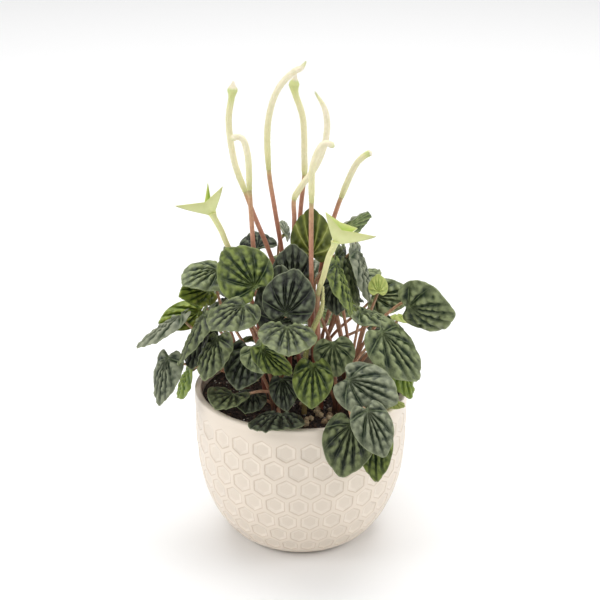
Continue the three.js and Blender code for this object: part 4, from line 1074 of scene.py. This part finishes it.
def bladeMesh(leaf, random):
    f = bladeFacts
    spokes, rings = f["spokes"], f["rings"]
    angle, share = np.meshgrid(
        -math.pi + 2 * math.pi * np.arange(spokes) / spokes,
        (np.arange(rings) + 1) / rings,
    )
    along, across, sink = bladeFlat(leaf, angle, share)
    edgeAlong, edgeAcross, _ = bladeFlat(leaf, angle, np.ones_like(share))
    reach = np.hypot(edgeAlong, edgeAcross) * share
    # the veins bend towards the tip on their way out
    bent = angle * (1 + f["veinBend"] * share ** 1.5 * np.cos(angle / 2) ** 2 * (1 - np.abs(angle) / math.pi))
    bent = np.clip(bent, -math.pi, math.pi)
    number = veinNumber(random, bent)
    wander = waves(random, along, across, (6, 7.5, 9, 12)) * f["wander"] * share
    inSector = number - np.floor(number)
    inSector = np.clip(inSector + wander * np.sin(math.pi * inSector), 0, 1)
    sector = np.floor(number).astype(int) + np.where(angle < 0, 10, 0)
    first = np.sin(math.pi * inSector)
    second = np.abs(np.sin(2 * math.pi * inSector))
    split = f["split"] * smoothStep(0.4, 0.85, share) * random.uniform(0.2, 1.3, 32)[sector]
    crest = first * (1 - split) + second * split
    phases = random.uniform(0, 2 * math.pi, 32)[sector]
    lean = 0.5 * np.abs(2 * inSector - 1)
    ripple = np.sin(2 * math.pi * (reach / f["rippleLength"] - lean) + phases + 9 * wander)
    lumps = waves(random, along, across, (3.6, 4.6, 5.8, 7.2))
    swell = np.sin(math.pi * np.minimum(share, 0.9)) ** 0.6
    depth = min(1.0, (leaf["length"] / f["fullLength"]) ** 1.5)
    height = f["ridge"] * (crest ** 0.8 - 0.45) + f["ripple"] * (ripple + 0.9 * lumps) * (0.3 + 0.7 * crest)
    height = height * swell * depth
    height += f["wave"] * np.sin(2 * angle + random.uniform(0, 6)) * share ** 2
    inset = 1 - f["scallop"] * (1 - crest) * smoothStep(0.6, 1.0, share)
    top = leaf["hub"] + (along * inset)[..., None] * leaf["rib"]
    top = top + (across * inset)[..., None] * leaf["across"] + (height - sink)[..., None] * leaf["face"]
    thick = lerp(f["thickness"], f["edgeThickness"], share ** 4)
    under = top - thick[..., None] * leaf["face"]
    hub = leaf["hub"] - leaf["face"]
    points = np.concatenate((
        top.reshape(-1, 3), [hub], under.reshape(-1, 3), [hub - leaf["face"] * f["thickness"]],
    ))
    # painted highlight as narrow pale ridges over a middling ground, painted shade as dark patches beside the
    # veins that fade towards the rim, and a pale dot on the hub
    uneven = 0.75 + 0.5 * ripple * crest + 0.6 * lumps
    pale = 0.85 * crest ** 4 * smoothStep(0.1, 0.5, share) * uneven
    dark = 0.46 * (1 - crest) ** 1.2 * smoothStep(0.06, 0.3, share)
    dark = dark * (1 - smoothStep(0.62, 0.95, share)) * (1.0 - 0.8 * lumps)
    toneWithPaintedLight = bladeFinishes[leaf["finish"]][3] + pale - dark + 0.1 * smoothStep(0.7, 1.0, share)
    toneWithPaintedLight = np.clip(toneWithPaintedLight + 0.4 * np.exp(-((reach / 0.9) ** 2)), 0, 1)
    # a pale line along the blade's edge, a painted highlight on the rim
    rim = smoothStep(0.96, 0.995, share) * 0.55
    count = spokes * rings
    whole = np.minimum(np.floor(number), len(f["veins"]) - 2)
    counted = np.where(number - whole >= 1, number, whole + inSector).ravel()
    values = {
        "ridge": np.concatenate((toneWithPaintedLight.ravel(), [0.7], crest.ravel(), [0.1])),
        "rim": np.concatenate((rim.ravel(), [0], rim.ravel(), [0])),
        "under": np.repeat((0.0, 1.0), count + 1),
        "vein": np.concatenate((counted, [0.0], counted, [0.0])),
        "reach": np.concatenate((reach.ravel(), [0.0], reach.ravel(), [0.0])),
    }
    faces = []
    for k in range(spokes):
        n = (k + 1) % spokes
        faces.append((count, k, n))
        faces.append((2 * count + 1, count + 1 + n, count + 1 + k))
        edge = (rings - 1) * spokes
        faces.append((edge + k, count + 1 + edge + k, count + 1 + edge + n, edge + n))
        for r in range(rings - 1):
            a, b = r * spokes, (r + 1) * spokes
            faces.append((a + k, b + k, b + n, a + n))
            faces.append((count + 1 + a + k, count + 1 + a + n, count + 1 + b + n, count + 1 + b + k))
    return points, faces, values


def makeBlades(name, leaves, material):
    random = np.random.default_rng(sum(map(ord, name)))
    points, faces, first = [], [], 0
    values = {"ridge": [], "rim": [], "under": [], "vein": [], "reach": []}
    tints = {"ridgeColor": [], "veinColor": [], "backColor": []}
    for leaf in leaves:
        made, madeFaces, madeValues = bladeMesh(leaf, random)
        points.append(made)
        faces.extend(tuple(first + i for i in face) for face in madeFaces)
        for key in values:
            values[key].append(madeValues[key])
        brightness = random.uniform(0.93, 1.07)
        for key, color in zip(tints, bladeFinishes[leaf["finish"]]):
            shaded = np.array((*(np.array(color[:3]) * brightness), 1.0))
            tints[key].append(np.tile(shaded, (len(made), 1)))
        first += len(made)
    join = lambda parts: {key: np.concatenate(part) for key, part in parts.items()}
    blades = meshObject("blades_" + name, np.concatenate(points), faces, join(values), join(tints))
    place(blades, material, "foliage", "crown_" + name)


def sweepTree(material, sides):
    tree, given = newTree("sweptStem", [("Sides", "Int", sides)])
    smooth = addNode(tree, "GeometryNodeSetShadeSmooth", {0: sweptCurve(tree, given)})
    endTree(tree, smooth.outputs[0], material)
    return tree


def makePetioles(name, leaves, material):
    f = petioleFacts
    x, y = crownFacts[name]["foot"]
    heights = np.linspace(f["crownFoot"], settleFacts["crownTop"], 8)
    rise = (heights - f["crownFoot"]) / f["crownRise"]
    paths = [{
        "points": [(x, y, z) for z in heights],
        "radius": f["crownRadius"] * np.sqrt(np.clip(1 - rise ** 4, 0, 1)),
        # the crown's stump takes the darkest stem colour, partly painted shade under the leaves
        "along": np.zeros(len(heights)),
    }]
    for leaf in leaves:
        share = np.linspace(0, 1, f["samples"] + 1)
        paths.append({
            "points": petiolePath(leaf, leaf["bow"], f["samples"]),
            "radius": lerp(*f["radius"], share ** 0.6) + 0.35 * smoothStep(0.9, 1.0, share),
        })
    petioles = pathObject("petioles_" + name, paths)
    applyTree(petioles, sweepTree(material, f["sides"]), {"Sides": f["sides"]})
    place(petioles, None, "foliage", "crown_" + name)


allLeaves = placeLeaves()
print("leaves settled")
leafMaterial = bladeMaterial()
petioleMaterial = stemMaterial("leafStem", petioleLook)
for name in crownFacts:
    own = [leaf for leaf in allLeaves if leaf["crown"] == name]
    makeBlades(name, own, leafMaterial)
    makePetioles(name, own, petioleMaterial)
print("crowns made:", len(allLeaves), "leaves")


spikeFacts = {
    "stalkRadius": 1.38, "stalkSides": 16, "stalkSteps": 60,
    "spikeRadius": 1.8, "sides": 18, "steps": 70, "blunt": 0.35,
    "youngSteps": 60, "youngSize": 0.85,
    "swell": {"a": 0.85, "d": 0.8}, "headed": ("a", "d", "g"),
    "taperFrom": {"c": 0.7, "e": 0.72, "b": 0.88, "f": 0.88, "g": 0.9},
    "florets": 0.0009, "floretSize": 0.00042,
}


def spikeRadii(share, name):
    start = spikeFacts["taperFrom"].get(name, 0.8)
    taper = 1 - 0.75 * (np.clip(share - start, 0, 1) / (1 - start)) ** 1.5
    swell = spikeFacts["swell"].get(name)
    head = 1.3 * np.exp(-(((share - swell) / 0.07) ** 2)) if swell else 0.0
    neck = 0.82 + 0.18 * smoothStep(0.0, 0.08, share)
    return spikeFacts["spikeRadius"] * taper * neck + head


def floretTree(material):
    tree, given = newTree("floretSpike", [
        ("Sides", "Int", 18), ("Spacing", "Float", 0.0009),
        ("Floret Size", "Float", 0.0004), ("Seed", "Int", 1),
    ])
    swept = sweptCurve(tree, given)
    scatter = addNode(tree, "GeometryNodeDistributePointsOnFaces", {
        "Mesh": swept, "Distance Min": given.outputs["Spacing"], "Density Max": 3e6,
        "Seed": given.outputs["Seed"],
    }, distribute_method="POISSON")
    values = {"Radius": given.outputs["Floret Size"], "Subdivisions": 1}
    bead = addNode(tree, "GeometryNodeMeshIcoSphere", values)
    size = randomVector(tree, (0.8, 0.8, 0.45), (1.1, 1.1, 0.7), 4)
    beads = addNode(tree, "GeometryNodeInstanceOnPoints", {
        "Points": scatter.outputs["Points"], "Instance": bead.outputs[0],
        "Rotation": scatter.outputs["Rotation"], "Scale": size,
    })
    both = addNode(tree, "GeometryNodeJoinGeometry")
    tree.links.new(swept, both.inputs[0])
    tree.links.new(beads.outputs[0], both.inputs[0])
    real = addNode(tree, "GeometryNodeRealizeInstances", {0: both.outputs[0]})
    smooth = addNode(tree, "GeometryNodeSetShadeSmooth", {0: real.outputs[0]})
    endTree(tree, smooth.outputs[0], material)
    return tree


def splitPath(lower, upper, lowerSteps, upperSteps):
    points = lower + upper[1:]
    cut = (len(lower) - 1) / (len(lower) + len(upper) - 2)
    return (curvePoints(points, np.linspace(0, cut, lowerSteps + 1)),
            curvePoints(points, np.linspace(cut, 1, upperSteps + 1)))


stalkMaterial = stemMaterial("redStalk", stalkLook)
spikeMaterial = stemMaterial("creamSpike", spikeLook, 0.5, srgb(214, 210, 150))
headedMaterial = stemMaterial("headedSpike", headedLook, 0.5, srgb(214, 210, 150))
youngMaterial = stemMaterial("youngSpike", youngLook)
starStemMaterial = stemMaterial("starStem", starStemLook)
stalkShape = sweepTree(stalkMaterial, spikeFacts["stalkSides"])
spikeShape, headedShape = floretTree(spikeMaterial), floretTree(headedMaterial)


def makeStalk(name, points, node):
    radius = np.full(len(points), spikeFacts["stalkRadius"])
    stalk = pathObject(name, [{"points": points, "radius": radius}])
    applyTree(stalk, stalkShape, {"Sides": spikeFacts["stalkSides"]})
    place(stalk, None, "stalks", node)


def makeSpike(name, points, radii, shape, seed, node):
    spike = pathObject(name, [{"points": points, "radius": radii}])
    applyTree(spike, shape, {
        "Sides": spikeFacts["sides"], "Spacing": spikeFacts["florets"],
        "Floret Size": spikeFacts["floretSize"], "Seed": seed,
    })
    place(spike, None, "spikes", node)


for index, (name, flower) in enumerate(flowerPaths.items()):
    below, above = splitPath(flower["stalk"], flower["spike"], spikeFacts["stalkSteps"], spikeFacts["steps"])
    makeStalk("redStalk_" + name, below, "stalk_" + name)
    radii = spikeRadii(np.linspace(0, 1, len(above)), name)
    radii[-1] *= spikeFacts["blunt"]
    shape = headedShape if name in spikeFacts["headed"] else spikeShape
    makeSpike("floretSpike_" + name, above, radii, shape, index + 1, "spike_" + name)

youngPoints = curvePoints(youngPath, evenShares(youngPath, spikeFacts["youngSteps"]))
youngRadii = spikeRadii(np.linspace(0, 1, len(youngPoints)), "") * spikeFacts["youngSize"]
makeSpike("budSpike", youngPoints, youngRadii, floretTree(youngMaterial), 9, "spike_young")
print("flower spikes made")


starFacts = {
    "spokes": 96, "rings": 20, "thickness": 0.9, "edge": 0.35,
    "rise": 2.0, "point": 0.78, "neck": 3.6, "steps": 50, "stemSides": 18,
}
starLook = {
    "outer": [(0.0, srgb(226, 230, 164)), (0.6, srgb(228, 232, 170)), (1.0, srgb(214, 216, 150))],
    "inner": [(0.0, srgb(150, 190, 60)), (0.6, srgb(172, 206, 78)), (0.95, srgb(216, 224, 140))],
    "mottle": srgb(196, 208, 120),
}


def starMaterial():
    material, tree, shader, where = newMaterial("starBloom")
    inside, share = attribute(tree, "inside"), attribute(tree, "share")
    mottle = noise(tree, where, 260.0, 3.0)
    base = mixColor(tree, inside, ramp(tree, share, starLook["outer"]), ramp(tree, share, starLook["inner"]))
    base = mixColor(tree, mapped(tree, mottle, 0.4, 0.7, 0.0, 0.25), base, starLook["mottle"])
    finishShader(tree, shader, {"Base Color": base, "Roughness": 0.45}, [(mottle, 0.2, 0.3)])
    return material


def makeStar(name, star, material):
    f = starFacts
    below, above = splitPath(star["foot"], star["stem"], f["steps"], f["steps"])
    makeStalk("starStalk_" + name, below, "stalk_star_" + name)

    share = np.linspace(0, 1, len(above))
    neck = int(len(above) * (1 - f["neck"] / np.linalg.norm(above[-1] - above[0])))
    radius = 1.55 + 0.4 * share + 1.5 * smoothStep(0.7, 1.1, share)
    stem = pathObject("starStem_" + name, [{"points": above[:neck], "radius": radius[:neck]}])
    applyTree(stem, sweepTree(starStemMaterial, f["stemSides"]), {"Sides": f["stemSides"]})
    place(stem, None, "stars", "star_" + name)

    middle = above[-1]
    axis = unit(middle - curvePoints(star["foot"] + star["stem"][1:], [1 - 1 / 48])[0])
    tips, cuts = [np.array(tip, dtype=float) for tip in star["tips"]], star["cuts"]
    if np.cross(tips[0] - middle, tips[1] - middle) @ axis < 0:
        tips, cuts = [tips[0], tips[2], tips[1]], cuts[::-1]
    spokes, rings = f["spokes"], f["rings"]
    edges = []
    for k in range(spokes):
        turn = 3 * k / spokes
        lobe = int(turn) % 3
        part = turn - int(turn)
        start, end = tips[lobe], tips[(lobe + 1) % 3]
        low = lerp((start + end) / 2, middle, cuts[lobe]) + axis * f["rise"]
        near = start if part < 0.5 else end
        fall = (2 * min(part, 1 - part)) ** f["point"]
        edges.append(lerp(near, low, fall))
    edges = np.array(edges)
    points, inside, shares = [], [], []
    for side in (1, 0):
        thick = 0.0 if side else 1.0
        points.append(middle - axis * (f["neck"] + f["thickness"] * thick))
        inside.append(side)
        shares.append(0.0)
        for r in range(1, rings + 1):
            s = r / rings
            sag = star["cup"] * s * (1 - s) * 1.6 + f["neck"] * (1 - s) ** 3
            ring = middle + (edges - middle) * s - axis * sag
            ring = ring - axis * lerp(f["thickness"], f["edge"], s) * thick
            points.extend(ring)
            inside.extend([side] * spokes)
            shares.extend([s] * spokes)
    count = 1 + spokes * rings
    faces = []
    for k in range(spokes):
        n = (k + 1) % spokes
        faces.append((0, 1 + k, 1 + n))
        faces.append((count, count + 1 + n, count + 1 + k))
        for r in range(rings - 1):
            a, b = 1 + r * spokes, 1 + (r + 1) * spokes
            faces.append((a + k, b + k, b + n, a + n))
            faces.append((count + a + k, count + a + n, count + b + n, count + b + k))
        edge = 1 + (rings - 1) * spokes
        faces.append((edge + k, count + edge + k, count + edge + n, edge + n))
    bloom = meshObject("starBloom_" + name, np.array(points), faces, {"inside": inside, "share": shares})
    place(bloom, material, "stars", "star_" + name)


bloomMaterial = starMaterial()
for name, star in starPaths.items():
    makeStar(name, star, bloomMaterial)
print("star blooms made")


def makeFloor():
    reach, level = 3000, -0.2
    corners = [(x * reach, y * reach, level) for x, y in ((-1, -1), (1, -1), (1, 1), (-1, 1))]
    floor = meshObject("studioFloor", corners, [(0, 1, 2, 3)])
    material, tree, shader, _ = newMaterial("paleFloor")
    finishShader(tree, shader, {"Base Color": (0.93, 0.93, 0.93, 1), "Roughness": 0.8})
    floor.data.materials.append(material)


lightFacts = {  # place and size in metres, power in watts
    "left": {"at": (-1.2, -0.35, 0.75), "size": 0.8, "power": 7.0},
    "right": {"at": (1.2, -0.25, 0.75), "size": 0.8, "power": 7.0},
    "above": {"at": (0.0, 0.6, 2.1), "size": 2.2, "power": 46.0},
    "front": {"at": (-0.3, -1.7, 1.3), "size": 1.0, "power": 7.0},
}


def lookAt(thing, target):
    toward = Vector(target) - thing.location
    thing.rotation_euler = toward.to_track_quat("-Z", "Y").to_euler()


def makeLights():
    for name, f in lightFacts.items():
        light = bpy.data.lights.new("soft_" + name, "AREA")
        light.energy = f["power"]
        light.size = f["size"]
        lamp = linked("soft_" + name, light)
        lamp.location = f["at"]
        lookAt(lamp, (0, 0, 0.14))
    world = bpy.data.worlds.new("studio")
    world.use_nodes = True
    world.node_tree.nodes["Background"].inputs[0].default_value = (1, 1, 1, 1)
    world.node_tree.nodes["Background"].inputs[1].default_value = 0.3
    scene.world = world


cameraFacts = {  # in mm and degrees, the focal length and the frame in pixels
    "distance": 1100.0, "elevation": 22.07, "target": (-0.6, 0.0, 153.4),
    "focal": 1828.0, "frame": 600.0,
}


def makeCamera():
    f = cameraFacts
    tilt = math.radians(f["elevation"])
    target = np.array(f["target"])
    eye = target - f["distance"] * np.array((0, math.cos(tilt), -math.sin(tilt)))
    data = bpy.data.cameras.new("camera")
    data.sensor_width = 36.0
    data.lens = f["focal"] / f["frame"] * data.sensor_width
    data.clip_start, data.clip_end = 0.05, 20.0
    camera = linked("camera", data)
    camera.location = eye * mm
    lookAt(camera, target * mm)
    scene.camera = camera


makeFloor()
makeLights()
makeCamera()
scene.view_settings.view_transform = "Standard"
print("floor, lights and camera made")
